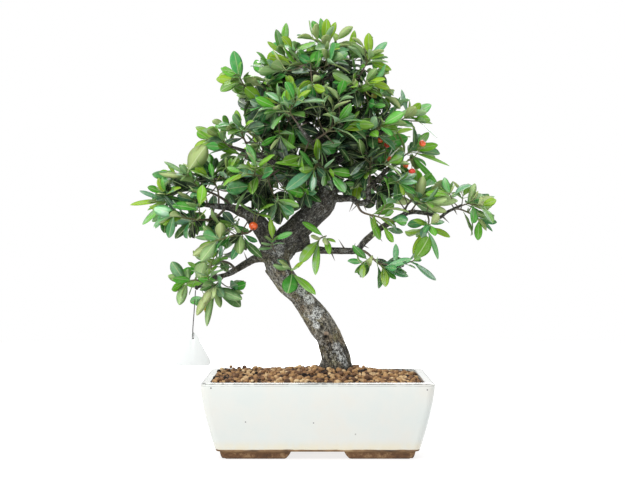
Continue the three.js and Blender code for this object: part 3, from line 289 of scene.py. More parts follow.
# Thorns: base (x, y, z) on a branch and tip
THORNS = [
    ((31, -4, 284), (27, -14, 293)), ((58, -16, 281), (68, -22, 274)), ((47, -15, 277), (38, -22, 268)),
    ((70, -10, 306), (82, -16, 302)), ((31, -2, 225), (24, -8, 236)), ((68, -10, 248), (60, -16, 256)),
    ((-98, -12, 274), (-104, -18, 284)), ((-80, 6, 211), (-84, 0, 222)),
]

# Leaf outline: share of the length, and half width there as a share of the leaf's half width
LEAF_OUTLINE = [
    (0, 0.07), (0.07, 0.075), (0.15, 0.16), (0.27, 0.46), (0.4, 0.76), (0.53, 0.95),
    (0.66, 1), (0.79, 0.9), (0.89, 0.66), (0.96, 0.36), (1, 0.07),
]

# Pits in the glaze, (x, z, size), the sizes in metres
GLAZE_PITS = [(-114.9, 76, 0.0011), (-78, 38.6, 0.0009), (-4.5, 37.6, 0.0009), (118, 74, 0.001)]

# Shares of the pot's height for the rings of its outer and inner wall
OUTER_RINGS = (0.04, 0.1, 0.18, 0.28, 0.39, 0.5, 0.61, 0.72, 0.81, 0.88, 0.93)
INNER_RINGS = (0.92, 0.83, 0.72, 0.58, 0.45, 0.32, 0.22, 0.15)

# Rings of the pot's lip, (drop below the rim, inset)
LIP_RINGS = [(2.6, 0.0), (1.9, 0.35), (1.2, 1.1), (0.5, 2.5), (0.1, 4.2), (0.0, 5.8), (0.0, 9.3),
             (0.2, 10.2), (0.7, 10.8), (1.6, 11.1)]

# Corner radius of the layer of granules
SOIL_CORNER = 7

# Place of the camera in front of the crown
CAMERA = (-5.6, -1655.0, 237.0)

# The tag's three corners before they are rounded, and the part of a shoot that its thread wraps
TAG_CORNERS = [(0, 0, 5.5), (-23.5, 0, -37), (23.5, 0, -37)]
WRAPPED_SHOOT = [(-130, 4, 184), (-140, -1, 180)]


class Nodes:
    """A node tree that is put together piece by piece."""

    def __init__(self, tree):
        self.tree = tree

    def feed(self, socket, value):
        """Links a node's output to a socket, or sets the socket."""
        if isinstance(value, bpy.types.NodeSocket):
            self.tree.links.new(value, socket)
        else:
            socket.default_value = value

    def node(self, kind, inputs=None, output=0, **settings):
        """A new node with its sockets fed, as one of its outputs."""
        node = self.tree.nodes.new("ShaderNode" + kind)
        for key, value in settings.items():
            setattr(node, key, value)
        for socket, value in (inputs or {}).items():
            self.feed(node.inputs[socket], value)
        return node.outputs[output]


class Finish(Nodes):
    """A material whose colour is laid on in layers."""

    def __init__(self, name, **values):
        self.material = bpy.data.materials.new(name)
        self.material.use_nodes = True
        super().__init__(self.material.node_tree)
        self.colour = self.normal = None
        for socket, value in values.items():
            self.set(socket, value)

    def set(self, socket, value):
        """Feeds or sets a socket of the shader."""
        shader = self.tree.nodes["Principled BSDF"]
        self.feed(shader.inputs[socket.replace("_", " ")], value)

    def object_place(self, scale=(1, 1, 1), location=(0, 0, 0)):
        """The place on the piece in metres, scaled and moved for a pattern."""
        return self.mapping(self.node("TexCoord", output="Object"), scale, location)

    def mapping(self, source, scale, location=(0, 0, 0), rotation=(0, 0, 0)):
        return self.node("Mapping", {
            "Vector": source, "Scale": scale, "Location": location, "Rotation": rotation})

    def part(self, vector, axis):
        return self.node("SeparateXYZ", {0: vector}, axis)

    def distance(self, point, scale=(1, 1, 1)):
        """How far the place on the piece is from a point."""
        where = self.object_place(scale, [-a * b for a, b in zip(point, scale)])
        return self.node("VectorMath", {0: where}, "Value", operation="LENGTH")

    def attribute(self, name, output="Fac"):
        return self.node("Attribute", output=output, attribute_name=name)

    def noise(self, where, scale, detail=3.0, roughness=0.55, distortion=0.0):
        return self.node("TexNoise", {
            "Vector": where, "Scale": scale, "Detail": detail, "Roughness": roughness,
            "Distortion": distortion}, "Fac")

    def cells(self, where, scale):
        return self.node("TexVoronoi", {"Vector": where, "Scale": scale}, "Distance")

    def math(self, operation, *values):
        return self.node("Math", dict(enumerate(values)), operation=operation)

    def times(self, a, b):
        return self.math("MULTIPLY", a, b)

    def span(self, value, low, high, to_low=0.0, to_high=1.0):
        """A value from one span carried over to another, smoothly and with ends."""
        return self.node("MapRange", {
            "Value": value, "From Min": low, "From Max": high, "To Min": to_low,
            "To Max": to_high}, interpolation_type="SMOOTHSTEP")

    def ramp(self, value, *stops):
        """Colours along a value, from (position, colour) stops."""
        colour = self.node("ValToRGB", {0: value})
        band = colour.node.color_ramp
        while len(band.elements) < len(stops):
            band.elements.new(0.5)
        for element, (position, stop) in zip(band.elements, stops):
            element.position = position
            element.color = (*stop, 1)
        return colour

    def blend(self, share, a, b):
        a, b = (c if isinstance(c, bpy.types.NodeSocket) else (*c, 1) for c in (a, b))
        return self.node("Mix", {0: share, 6: a, 7: b}, 2, data_type="RGBA")

    def lay(self, share, colour):
        """A layer of colour over the ones before."""
        self.colour = self.blend(share, self.colour, colour)

    def bump(self, height, strength, distance):
        """Relief on top of the relief before."""
        inputs = {"Height": height, "Strength": strength, "Distance": distance}
        if self.normal:
            inputs["Normal"] = self.normal
        self.normal = self.node("Bump", inputs)

    def done(self):
        self.set("Base Color", self.colour)
        self.set("Normal", self.normal)
        return self.material


def glaze_finish(pot):
    """White glaze with a green cast, ochre where it thins out above the bare clay foot ring."""
    look = Finish("glaze", Coat_Weight=0.5, Coat_Roughness=0.06)
    where = look.object_place()
    level = look.part(where, "Z")
    wavy = look.math("MULTIPLY_ADD", look.noise(where, 55, 2), 0.0022, -0.0011)
    height = look.math("ADD", level, wavy)
    drips = look.noise(look.object_place((1, 1, 0.16)), 120)
    look.colour = look.ramp(look.noise(where, 26), (0.34, pot.glaze_shade),
                            (0.52, pot.glaze_colour), (0.7, pot.glaze_warm))
    look.lay(look.span(drips, 0.5, 0.72, 0, 0.35), pot.glaze_shade)
    speckle = look.span(look.cells(look.object_place((1, 1, 0.8)), 62), 0.07, 0.03)
    chosen = look.span(look.noise(where, 41, 1), 0.56, 0.66)
    look.lay(look.times(look.times(speckle, chosen), 0.75), pot.speckle)
    thin = look.times(look.span(height, 0.0235, 0.0105), look.span(drips, 0.3, 0.62, 0.45, 1))
    look.lay(look.times(thin, 0.5), pot.glaze_thin)
    # Painted shade: a thin dark line round the pot just under the lip, and a fainter one 2.2 mm lower
    for line, strength in ((pot.lip_shade_line, 0.95), (pot.lip_shade_line - 0.0022, 0.25)):
        off = look.math("ABSOLUTE", look.math("SUBTRACT", level, line))
        broken = look.span(look.noise(look.object_place((1, 1, 0.2)), 130), 0.4, 0.52, 0.4, 1)
        look.lay(look.times(look.span(off, 0.0006, 0.0003, 0, strength), broken), pot.lip_shade_and_pit_colour)
    for x, z, size in GLAZE_PITS:
        away = look.distance(place((x, 0, z)), (1, 0, 1))
        look.lay(look.span(away, size, size * 0.6, 0, 0.8), pot.lip_shade_and_pit_colour)
    grain = look.noise(where, 480, 4, 0.7)
    clay = look.ramp(look.noise(where, 60), (0.3, pot.clay_dark), (0.55, pot.clay_colour),
                     (0.75, pot.clay_light))
    clay = look.blend(look.span(grain, 0.56, 0.72, 0, 0.6), clay, pot.clay_dark)
    feet = look.ramp(look.noise(where, 130, 5, 0.8), (0.34, pot.clay_dark),
                     (0.5, pot.foot_colour), (0.68, pot.clay_light))
    # The feet lighter towards their top as a painted highlight, and darker at their bottom edge as
    # painted shade
    feet = look.blend(look.span(height, 0.0052, 0.008, 0, 0.6), feet, pot.clay_colour)
    feet = look.blend(look.span(level, 0.0026, 0.0006, 0, 0.45), feet, pot.clay_dark)
    bare = look.span(height, 0.0113, 0.0105)
    look.lay(bare, look.blend(look.span(level, 0.0088, 0.0058), clay, feet))
    look.set("Roughness", look.span(bare, 0, 1, 0.2, 0.85))
    look.set("Coat Weight", look.span(bare, 0, 1, 0.5, 0))
    look.bump(look.noise(where, 34, 2), 0.35, 0.0009)
    look.bump(look.times(grain, bare), 0.5, 0.0006)
    return look.done()


def bark_finish(tree):
    """Grey-brown bark in fine cracks along the stem, with pale lichen and olive algae."""
    look = Finish("bark", Roughness=0.88)
    grain = look.attribute("bark_grain", "Vector")
    along = look.mapping(grain, (1, 1, 0.42))
    where = look.object_place()
    level = look.part(where, "Z")
    cracks = look.noise(along, 460, 5, 0.75, 0.4)
    plates = look.noise(along, 120, 3, 0.6, 0.8)
    flecks = look.noise(where, 620, 3, 0.8)
    pits = look.noise(where, 300, 4, 0.8)
    look.colour = look.ramp(plates, (0.3, tree.bark_shade), (0.48, tree.bark_colour),
                            (0.68, tree.bark_light))
    look.lay(look.span(look.noise(where, 44, 4, 0.65), 0.48, 0.62, 0, 0.75), tree.bark_warm)
    algae = look.noise(look.object_place(location=(3, 1, 2)), 38, 4, 0.6)
    look.lay(look.span(algae, 0.48, 0.62, 0, 0.7), tree.bark_olive)
    # Darker bark on thin branches, and painted shade of the crown on the trunk above 0.2 m
    thin = look.span(look.attribute("old_wood"), 0, 1, 0.75, 0)
    shaded = look.math("MAXIMUM", thin, look.span(level, 0.2, 0.23, 0, 0.78))
    look.lay(shaded, tree.bark_shade)
    patches = look.noise(look.mapping(grain, (1, 1, 0.5), (5, 2, 7)), 95, 5, 0.7, 0.5)
    patches = look.math("ADD", patches, look.times(look.attribute("lichen"), 0.24))
    lichen = look.times(look.span(patches, 0.54, 0.66), look.span(flecks, 0.4, 0.5, 0.25, 1))
    look.lay(look.times(lichen, look.span(shaded, 0, 1, 0.9, 0.3)), tree.lichen_colour)
    for pattern, low, high, share, colour in (
        (flecks, 0.49, 0.4, 0.85, tree.bark_dark), (cracks, 0.47, 0.39, 0.9, tree.bark_dark),
        (cracks, 0.56, 0.68, 0.5, tree.bark_light), (pits, 0.48, 0.41, 0.9, tree.bark_dark),
        (pits, 0.57, 0.65, 0.4, tree.lichen_colour),
    ):
        look.lay(look.span(pattern, low, high, 0, share), colour)
    specks = look.span(pits, 0.56, 0.46, 0, 0.65)
    look.lay(look.times(look.span(level, 0.135, 0.112), specks), tree.bark_dark)
    # Darker towards the bottom, where the trunk meets the soil
    darkening_guide = look.math("ADD", level, look.times(flecks, -0.02))
    look.lay(look.span(darkening_guide, 0.09, 0.081, 0, 0.8), tree.bark_dark)
    # Painted shade: the inside of scars and knot holes near black
    broken = look.span(flecks, 0.62, 0.45, 0.3, 1)
    look.lay(look.times(look.attribute("scar"), broken), tree.hole_colour)
    # Lighter callus above the knot hole, and painted shade in its middle
    x, y, z, _, _ = SCARS[0]
    for rise, share, colour in ((4.6, 0.6, tree.callus), (0, 1, tree.bark_dark)):
        away = look.distance(place((x, y, z + rise)))
        look.lay(look.span(away, 0.0036, 0.00198, 0, share), colour)
    look.bump(plates, 0.6, 0.0016)
    look.bump(cracks, 1.0, 0.0013)
    return look.done()


def leaf_finish(leaves, name, under):
    """Leathery leaf: midrib and side veins by its own length and width, painted shade and light by its
    own tone value.
    """
    look = Finish(name, Roughness=0.66, Subsurface_Weight=0.1, Specular_IOR_Level=0.22,
                  Subsurface_Radius=(0.4, 1.0, 0.15), Subsurface_Scale=0.0012)
    blade = look.node("UVMap", uv_map="blade")
    across = look.part(blade, "X")
    off = look.math("ABSOLUTE", look.math("SUBTRACT", across, 0.5))
    slant = look.math("SUBTRACT", look.part(blade, "Y"), look.times(off, 0.55))
    veins = look.span(look.math("SINE", look.times(slant, 78)), 0.72, 0.98)
    veins = look.times(veins, look.span(off, 0.02, 0.1))
    midrib = look.span(off, 0.045, 0.016)
    where = look.object_place()
    cloud = look.noise(where, 160)
    # The tone ramps are painted shade and light: near black deep in the crown, lightest in the open
    if under:
        stops = ((0, leaves.deep_shade_leaf), (0.22, leaves.under_dark), (0.55, leaves.under_colour),
                 (1, leaves.under_pale))
        rib, vein = leaves.under_rib, leaves.under_pale
    else:
        stops = ((0, leaves.deep_shade_leaf), (0.16, leaves.shaded_leaf), (0.38, leaves.leaf_colour),
                 (0.6, leaves.mid_leaf), (0.84, leaves.lit_young_leaf), (0.95, leaves.lit_young_leaf),
                 (1, leaves.yellow_leaf))
        rib, vein = leaves.rib_colour, leaves.vein_colour
    # Hue: random, and bluish on glossy, dark leaves as a painted reflection
    hue = look.attribute("hue")
    look.colour = look.node("HueSaturation", {
        "Color": look.ramp(look.attribute("tone"), *stops),
        "Hue": look.math("MULTIPLY_ADD", hue, 0.115, 0.466),
        "Saturation": look.span(hue, 0.3, 1, 1.12, 0.84)})
    look.lay(look.span(cloud, 0.42, 0.7, 0, 0.4), look.blend(0.5, look.colour, rib))
    look.lay(look.times(veins, 0.28), vein)
    look.lay(look.times(midrib, 0.8), rib)
    spots = look.span(look.noise(where, 38, 1), 0.6, 0.68)
    spots = look.times(look.span(look.cells(where, 330), 0.16, 0.08), spots)
    look.lay(look.times(spots, 0.6), leaves.spot_colour)
    if not under:
        gloss = look.attribute("gloss")
        # Painted sheen: a pale bluish patch on one half of each glossy leaf stands in for the reflection
        # of the lights
        half = look.math("SUBTRACT", look.span(across, 0.47, 0.53), look.span(hue, 0.45, 0.55))
        painted_sheen = look.span(look.math("ABSOLUTE", half), 0, 1, 0.2, 1)
        painted_sheen = look.times(painted_sheen, look.span(look.noise(where, 95), 0.38, 0.62, 0.1, 1))
        look.lay(look.times(painted_sheen, look.span(gloss, 0.3, 1, 0, 0.6)), leaves.painted_sheen_colour)
        look.set("Roughness", look.span(gloss, 0, 1, 0.54, 0.3))
        look.set("Coat Weight", look.span(gloss, 0.35, 0.95))
        look.set("Coat Roughness", 0.2)
        look.set("Coat IOR", 1.65)
    relief = look.math("SUBTRACT", look.times(cloud, 0.4), look.math("MAXIMUM", veins, midrib))
    look.bump(look.times(relief, -1.0) if under else relief, 0.45, 0.0004)
    return look.done()


def twig_finish(tree):
    """Young shoots, brown at their base and green-brown at their end."""
    look = Finish("young_twig", Roughness=0.6)
    look.colour = look.ramp(look.attribute("age"), (0, tree.bark_colour),
                            (0.45, tree.twig_colour), (1, tree.twig_green))
    streaks = look.noise(look.object_place((1, 1, 0.3)), 700)
    look.lay(look.span(streaks, 0.45, 0.7, 0, 0.5), tree.bark_dark)
    look.bump(look.noise(look.object_place(), 900), 0.4, 0.0004)
    return look.done()


def berry_finish(berries):
    """Waxy orange-red berry, paler towards its stalk, with a dark eye of dry sepals."""
    look = Finish("berry_skin", Roughness=0.28, Coat_Weight=0.5, Coat_Roughness=0.12,
                  Subsurface_Weight=0.2, Subsurface_Radius=(1.0, 0.25, 0.1),
                  Subsurface_Scale=0.002)
    where = look.object_place()
    look.colour = look.blend(look.attribute("tone"), berries.orange, berries.red)
    look.lay(look.span(look.noise(where, 260), 0.42, 0.7, 0, 0.45), berries.dark)
    look.lay(look.span(look.cells(where, 1500), 0.22, 0.12, 0, 0.4), berries.pale)
    look.bump(look.noise(where, 420, 2), 0.25, 0.0005)
    return look.done()


def grain_finish(soil, name, deep):
    """Fired clay and pumice granules, each with its own tone, or the dark ground between them."""
    look = Finish(name, Roughness=0.95)
    where = look.object_place()
    # The ground's dark colour is partly the soil's own and partly painted shade between the granules
    if deep:
        look.colour = look.ramp(look.noise(where, 240, 4), (0.35, soil.ground_dark),
                                (0.65, soil.ground))
    else:
        look.colour = look.ramp(look.attribute("tone"), (0, soil.ground_dark),
                                (0.12, soil.grain_dark), (0.4, soil.grain_brown),
                                (0.72, soil.grain_ochre), (1, soil.grain_pale))
        look.lay(look.span(look.noise(where, 260, 3, 0.6), 0.52, 0.7, 0, 0.45), soil.grain_dark)
        look.lay(look.span(look.cells(where, 1400), 0.26, 0.14, 0, 0.3), soil.ground_dark)
    look.bump(look.noise(where, 1300, 4, 0.7), 0.45, 0.0005)
    return look.done()


def clouded_finish(name, roughness, scales, cloud, colours, relief):
    """Two colours in clouds, with fine relief."""
    look = Finish(name, Roughness=roughness)
    where = look.object_place()
    look.colour = look.blend(look.span(look.noise(where, *scales[0]), *cloud), *colours)
    look.bump(look.noise(where, *scales[1]), *relief)
    return look.done()


def thread_finish(tag):
    look = Finish("tag_thread", Roughness=0.75)
    twist = look.mapping(look.node("TexCoord", output="Object"), (1, 1, 1), rotation=(0, 0.7, 0))
    strands = look.node("TexWave", {"Vector": twist, "Scale": 420.0}, "Fac")
    # Painted shade between the strands of the thread
    look.colour = look.blend(look.span(strands, 0.2, 0.8), tag.thread_dark, tag.thread_colour)
    look.bump(strands, 0.5, 0.0002)
    return look.done()


def floor_finish(stage):
    """Pale floor with its own glow, which runs out into white."""
    look = Finish("pale_floor", Roughness=0.8, Emission_Color=(1, 1, 1, 1))
    cloud = look.span(look.noise(look.object_place(), 3, 2), 0.3, 0.7, 0, 0.3)
    look.set("Base Color", look.blend(cloud, stage.floor_colour, stage.floor_shade))
    away = look.distance((0, 0, 0))
    # The floor glows brighter below the pot, as painted light in place of the shadow there, and more far
    # out, where it runs into white
    below = look.span(away, 0.11, 0.17, stage.glow_below, stage.floor_glow)
    beyond = look.span(away, stage.floor_fade, stage.floor_reach * 0.8)
    look.set("Emission Strength", look.math("ADD", below, beyond))
    return look.material


def clear_selection():
    if bpy.context.object and bpy.context.object.mode != "OBJECT":
        bpy.ops.object.mode_set(mode="OBJECT")
    bpy.ops.object.select_all(action="DESELECT")


def added(operator, **settings):
    """A new object, alone selected."""
    clear_selection()
    operator(**settings)
    return bpy.context.object


def taken_apart(obj):
    """The points and faces of a mesh, whose object goes."""
    points = [vertex.co.copy() for vertex in obj.data.vertices]
    faces = [tuple(polygon.vertices) for polygon in obj.data.polygons]
    bpy.data.objects.remove(obj)
    return points, faces


def search_tree(points):
    """Finds the points that are nearest to a place."""
    tree = KDTree(len(points))
    for i, point in enumerate(points):
        tree.insert(point, i)
    tree.balance()
    return tree


def extrude(x, y, z):
    bpy.ops.mesh.extrude_region_move(TRANSFORM_OT_translate={"value": (x, y, z)})


def leave_edit():
    bpy.ops.object.mode_set(mode="OBJECT")


def select_only(*objects):
    clear_selection()
    for obj in objects:
        obj.select_set(True)
    bpy.context.view_layer.objects.active = objects[0]


def settle(obj):
    """Moves the object's place, turn and size into its mesh."""
    select_only(obj)
    bpy.ops.object.transform_apply(location=True, rotation=True, scale=True)


def with_modifier(obj, kind, **settings):
    """Adds a modifier and applies it."""
    select_only(obj)
    modifier = obj.modifiers.new(kind.lower(), kind)
    for key, value in settings.items():
        setattr(modifier, key, value)
    bpy.ops.object.modifier_apply(modifier=modifier.name)


def join(objects):
    select_only(*objects)
    bpy.ops.object.join()
    return bpy.context.object


def cut_away(obj, tool, operation="DIFFERENCE"):
    with_modifier(obj, "BOOLEAN", operation=operation, object=tool, solver="EXACT")
    bpy.data.objects.remove(tool)


def smooth(obj, angle):
    select_only(obj)
    bpy.ops.object.shade_smooth_by_angle(angle=math.radians(angle))


def paint(obj, *materials):
    obj.data.materials.clear()
    for material in materials:
        obj.data.materials.append(material)


def carry(obj, name, slot, *nodes):
    """Names a finished piece, lets it ride on the body and stand for its CAD nodes."""
    obj.name = obj.data.name = name
    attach(obj, "root")
    if nodes:
        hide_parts(*nodes)
    return obj


def round_curve(samples, thickness, resolution):
    """A round line through (point, radius) samples, each radius as a share of the thickness."""
    obj = added(bpy.ops.curve.primitive_nurbs_path_add)
    obj.location = (0, 0, 0)
    curve = obj.data
    curve.splines.clear()
    line = curve.splines.new("POLY")
    line.points.add(len(samples) - 1)
    for point, (centre, radius) in zip(line.points, samples):
        point.co = (*place(centre), 1)
        point.radius = radius
    curve.dimensions = "3D"
    curve.bevel_depth = thickness
    curve.bevel_resolution = resolution
    curve.use_fill_caps = True
    return obj


def edit_all():
    """Opens the active object for editing, with all of it selected."""
    bpy.ops.object.mode_set(mode="EDIT")
    bpy.ops.mesh.select_all(action="SELECT")


def keep_faces_outward(obj):
    select_only(obj)
    edit_all()
    bpy.ops.mesh.remove_doubles(threshold=0.000002)
    bpy.ops.mesh.normals_make_consistent(inside=False)
    leave_edit()


def catmull_rom(a, b, c, d, t):
    """Uniform Catmull-Rom between b and c."""
    return 0.5 * (2 * b + (c - a) * t + (2 * a - 5 * b + 4 * c - d) * t ** 2
                  + (3 * b - a - 3 * c + d) * t ** 3)


def with_ends(points):
    """The points with one more before and one after them, so that a curve reaches both ends."""
    return [points[0] * 2 - points[1], *points, points[-1] * 2 - points[-2]]


def route_samples(route, splits):
    """(point, radius) along a smooth line through (x, y, z, radius) points, in millimetres."""
    points = with_ends([Vector(p[:3]) for p in route])
    samples = []
    for i in range(len(route) - 1):
        for k in range(splits):
            t = k / splits
            point = catmull_rom(*points[i:i + 4], t)
            samples.append((point, mix(route[i][3], route[i + 1][3], t)))
    return [*samples, (points[-2], route[-1][3])]


def frames_along(points):
    """Directions across a line of points, carried along it without twisting."""
    frames = []
    across = Vector((0.31, -0.9, 0.31))
    for before, after in zip([points[0], *points], [*points[1:], points[-1]]):
        forward = (after - before).normalized()
        across = (across - forward * across.dot(forward)).normalized()
        frames.append((forward, across, forward.cross(across)))
    return frames


def tube(samples, resolution):
    """A tapering round stem as a mesh."""
    select_only(round_curve(samples, MM, resolution))
    bpy.ops.object.convert(target="MESH")
    return bpy.context.object


def outline_half(height, rim_half, pot):
    """Half length or half depth of the pot's outer face at a height."""
    drop = max(pot.height - height, 0) / (pot.height - pot.floor_bottom)
    return rim_half - pot.taper * drop ** pot.taper_power


def wall_at(height, pot):
    return pot.lip_width - pot.wall_thinning * clamp((pot.height - height) / (20 * MM))


def grow_rings(pot, rings):
    """From the selected face upwards: one ring for each (height, inset from the outer face)."""
    halves = (pot.length / 2, pot.depth / 2)
    for (low, low_inset), (height, inset) in zip(rings, rings[1:]):
        extrude(0, 0, height - low)
        was = [outline_half(low, half, pot) - low_inset for half in halves]
        now = [outline_half(height, half, pot) - inset for half in halves]
        bpy.ops.transform.resize(value=(now[0] / was[0], now[1] / was[1], 1),
                                 center_override=(POT_MIDDLE.x, POT_MIDDLE.y, height))


def rounded_plate(width, depth, middle, corner, segments):
    """A flat face with round corners, in edit mode and selected."""
    obj = added(bpy.ops.mesh.primitive_plane_add, size=1, location=middle)
    obj.scale = (width, depth, 1)
    settle(obj)
    edit_all()
    bpy.ops.mesh.bevel(offset=corner, segments=segments, affect="VERTICES")
    bpy.ops.mesh.select_all(action="SELECT")
    return obj


def foot_bar(pot, length, turned, sign_x, sign_y):
    """One bar of a corner foot: hollow-slanted ends, soft lower edges."""
    corner = [outline_half(pot.floor_bottom, size / 2, pot) - pot.foot_inset
              for size in (pot.length, pot.depth)]
    size_x, size_y = (pot.foot_width, length) if turned else (length, pot.foot_width)
    top = pot.floor_bottom + MM
    middle = Vector((POT_MIDDLE.x + sign_x * (corner[0] - size_x / 2),
                     POT_MIDDLE.y + sign_y * (corner[1] - size_y / 2), 0))
    bar = rounded_plate(size_x, size_y, middle, 1.6 * MM, 3)
    last = (0.0, length / 2, pot.foot_width / 2)
    for level in [0.0, 0.7 * MM] + [top * i / 8 for i in range(1, 9)]:
        shrink = pot.foot_slant * (1 - level / top) ** 1.7 + (0.0 if level else 0.7 * MM)
        now = (level, length / 2 - shrink, pot.foot_width / 2 - 0.4 * shrink)
        if level:
            extrude(0, 0, level - last[0])
        factors = (now[1] / last[1], now[2] / last[2])
        value = (*(factors[::-1] if turned else factors), 1)
        bpy.ops.transform.resize(value=value, center_override=(middle.x, middle.y, level))
        last = now
    leave_edit()
    keep_faces_outward(bar)
    return bar


def build_pot(pot):
    top, floor = pot.height / MM, pot.floor_bottom / MM
    rings = [(floor, 0.9), (floor + 0.3, 0.3), (floor + 0.9, 0.0)]
    rings += [(mix(floor, top, share), 0.0) for share in OUTER_RINGS]
    rings += [(top - drop, inset) for drop, inset in LIP_RINGS]
    rings = [(height * MM, inset * MM) for height, inset in rings]
    for share in INNER_RINGS:
        height = mix(floor, top, share) * MM
        rings.append((height, wall_at(height, pot)))
    rings += [(pot.floor_top + 0.5 * MM, wall_at(0, pot) + 1.2 * MM),
              (pot.floor_top, wall_at(0, pot) + 3 * MM)]
    height, inset = rings[0]
    width, depth = (2 * (outline_half(height, size / 2, pot) - inset)
                    for size in (pot.length, pot.depth))
    obj = rounded_plate(width, depth, (POT_MIDDLE.x, POT_MIDDLE.y, height), pot.corner, 7)
    grow_rings(pot, rings)
    leave_edit()
    keep_faces_outward(obj)
    for side in (-1, 1):
        cut_away(obj, added(
            bpy.ops.mesh.primitive_cylinder_add, vertices=40, radius=pot.drain_radius, depth=0.03,
            location=(POT_MIDDLE.x + side * pot.drain_spacing / 2, POT_MIDDLE.y, 0.012)))
    for sign_x in (-1, 1):
        for sign_y in (-1, 1):
            long_bar = foot_bar(pot, pot.foot_long, False, sign_x, sign_y)
            short_bar = foot_bar(pot, pot.foot_short, True, sign_x, sign_y)
            cut_away(long_bar, short_bar, "UNION")
            cut_away(obj, long_bar, "UNION")
    smooth(obj, 40)
    paint(obj, glaze_finish(pot))
    carry(obj, "glazed_pot", "glaze", "pot")


def soil_height(x, y, soil):
    """Height of the ground at a place in the pot's millimetres, before its granules."""
    away = math.hypot(x - TRUNK[2][0], y * 1.1) / soil.mound_reach
    return soil.edge_height + soil.mound * math.exp(-away * away) - soil.right_fall * x


def into_outline(u, v, half_x, half_y, corner):
    """A point of the square from -1 to 1, moved into a rectangle with round corners."""
    x, y = u * half_x, v * half_y
    over_x, over_y = abs(x) - (half_x - corner), abs(y) - (half_y - corner)
    if over_x > 0 and over_y > 0:
        pull = max(over_x, over_y) / math.hypot(over_x, over_y)
        x = math.copysign(half_x - corner + over_x * pull, x)
        y = math.copysign(half_y - corner + over_y * pull, y)
    return x, y


def build_ground(pot, soil):
    """The dark ground below the loose granules, filling the pot down to its floor."""
    floor, brim = 1.2 * MM + pot.floor_top, pot.height - 3 * MM
    obj = added(bpy.ops.mesh.primitive_grid_add, x_subdivisions=56, y_subdivisions=42, size=2,
                location=(0, 0, floor))
    settle(obj)
    edit_all()
    extrude(0, 0, 60 * MM)
    leave_edit()
    half = [[(outline_half(level, size / 2, pot) - wall_at(level, pot)) / MM - 0.6
             for size in (pot.length, pot.depth)] for level in (floor, brim)]
    for vertex in obj.data.vertices:
        top = vertex.co.z > 40 * MM
        x, y = into_outline(vertex.co.x, vertex.co.y, *half[top], 8.5)
        level = soil_height(x, y, soil) + 0.9 * noise.noise(Vector((x, y, 3)) * 0.22)
        vertex.co = place((x, y, level if top else floor / MM + FOOT_BOTTOM))
    keep_faces_outward(obj)
    smooth(obj, 60)
    return obj


def grain_shape():
    """One rounded granule about the origin, 2 across."""
    obj = added(bpy.ops.mesh.primitive_cube_add, size=1.3)
    edit_all()
    bpy.ops.mesh.subdivide(number_cuts=1)
    bpy.ops.transform.tosphere(value=0.72)
    leave_edit()
    return taken_apart(obj)


class Heap:
    """Points and faces of many copies, with one value for each face, made one mesh at the end."""

    def __init__(self, *names):
        self.points = []
        self.faces = []
        self.materials = []
        self.values = {name: [] for name in names}
        self.uvs = []

    def add(self, points, faces, material=0, uvs=None, **values):
        first = len(self.points)
        self.points += points
        for i, face in enumerate(faces):
            self.faces.append(tuple(first + k for k in face))
            self.materials.append(material[i] if isinstance(material, list) else material)
            for name, kept in self.values.items():
                value = values.get(name, 0.0)
                kept.append(value[i] if isinstance(value, list) else value)
            self.uvs += [uvs[k] for k in face] if uvs else [(0.0, 0.0)] * len(face)

    def mesh(self, name, materials, layer=None):
        mesh = bpy.data.meshes.new(name)
        mesh.from_pydata(self.points, [], self.faces)
        obj = bpy.data.objects.new(name, mesh)
        paint(obj, *materials)
        mesh.polygons.foreach_set("material_index", self.materials)
        mesh.polygons.foreach_set("use_smooth", [True] * len(self.faces))
        for key, values in self.values.items():
            mesh.attributes.new(key, "FLOAT", "FACE").data.foreach_set("value", values)
        if layer:
            uv = mesh.uv_layers.new(name=layer)
            uv.uv.foreach_set("vector", [part for pair in self.uvs for part in pair])
        mesh.update()
        bpy.context.scene.collection.objects.link(obj)
        return obj


def granule(points, number, x, y, layer, soil):
    """The points and the tone of one granule, turned, stretched and knobbly by its number."""
    size = mix(soil.grain_small, soil.grain_large, chance(number, 3) ** 1.4) / 2
    lift = mix(-1.2, 1.2, chance(number, 4)) + layer * 2.2 - max(size - 3, 0) * 0.4
    turn = Matrix.Rotation(chance(number, 5) * 6.3, 3, "Z")
    turn @= Matrix.Rotation(chance(number, 6) * 6.3, 3, "X")
    stretch = Vector((1, mix(0.72, 1.1, chance(number, 7)), mix(0.65, 0.95, chance(number, 8))))
    centre = Vector((x, y, soil_height(x, y, soil) + lift))
    shaped = []
    for point in points:
        knob = 1 + 0.26 * noise.noise(point * 1.3 + Vector((number, 0, 0)))
        local = turn @ Vector([a * b for a, b in zip(point, stretch)])
        shaped.append(place(centre + local * size * knob))
    # Granules darker towards the left side and in broad patches
    darkening_guide = noise.noise(Vector((x, y, 3)) * 0.05) + 0.45 * clamp((-75 - x) / 25)
    tone = mix(0.1, 0.97, chance(number, 9)) + 0.12 * (layer - 0.5)
    return shaped, clamp(tone - 0.45 * smooth_step(0.15, 0.5, darkening_guide))


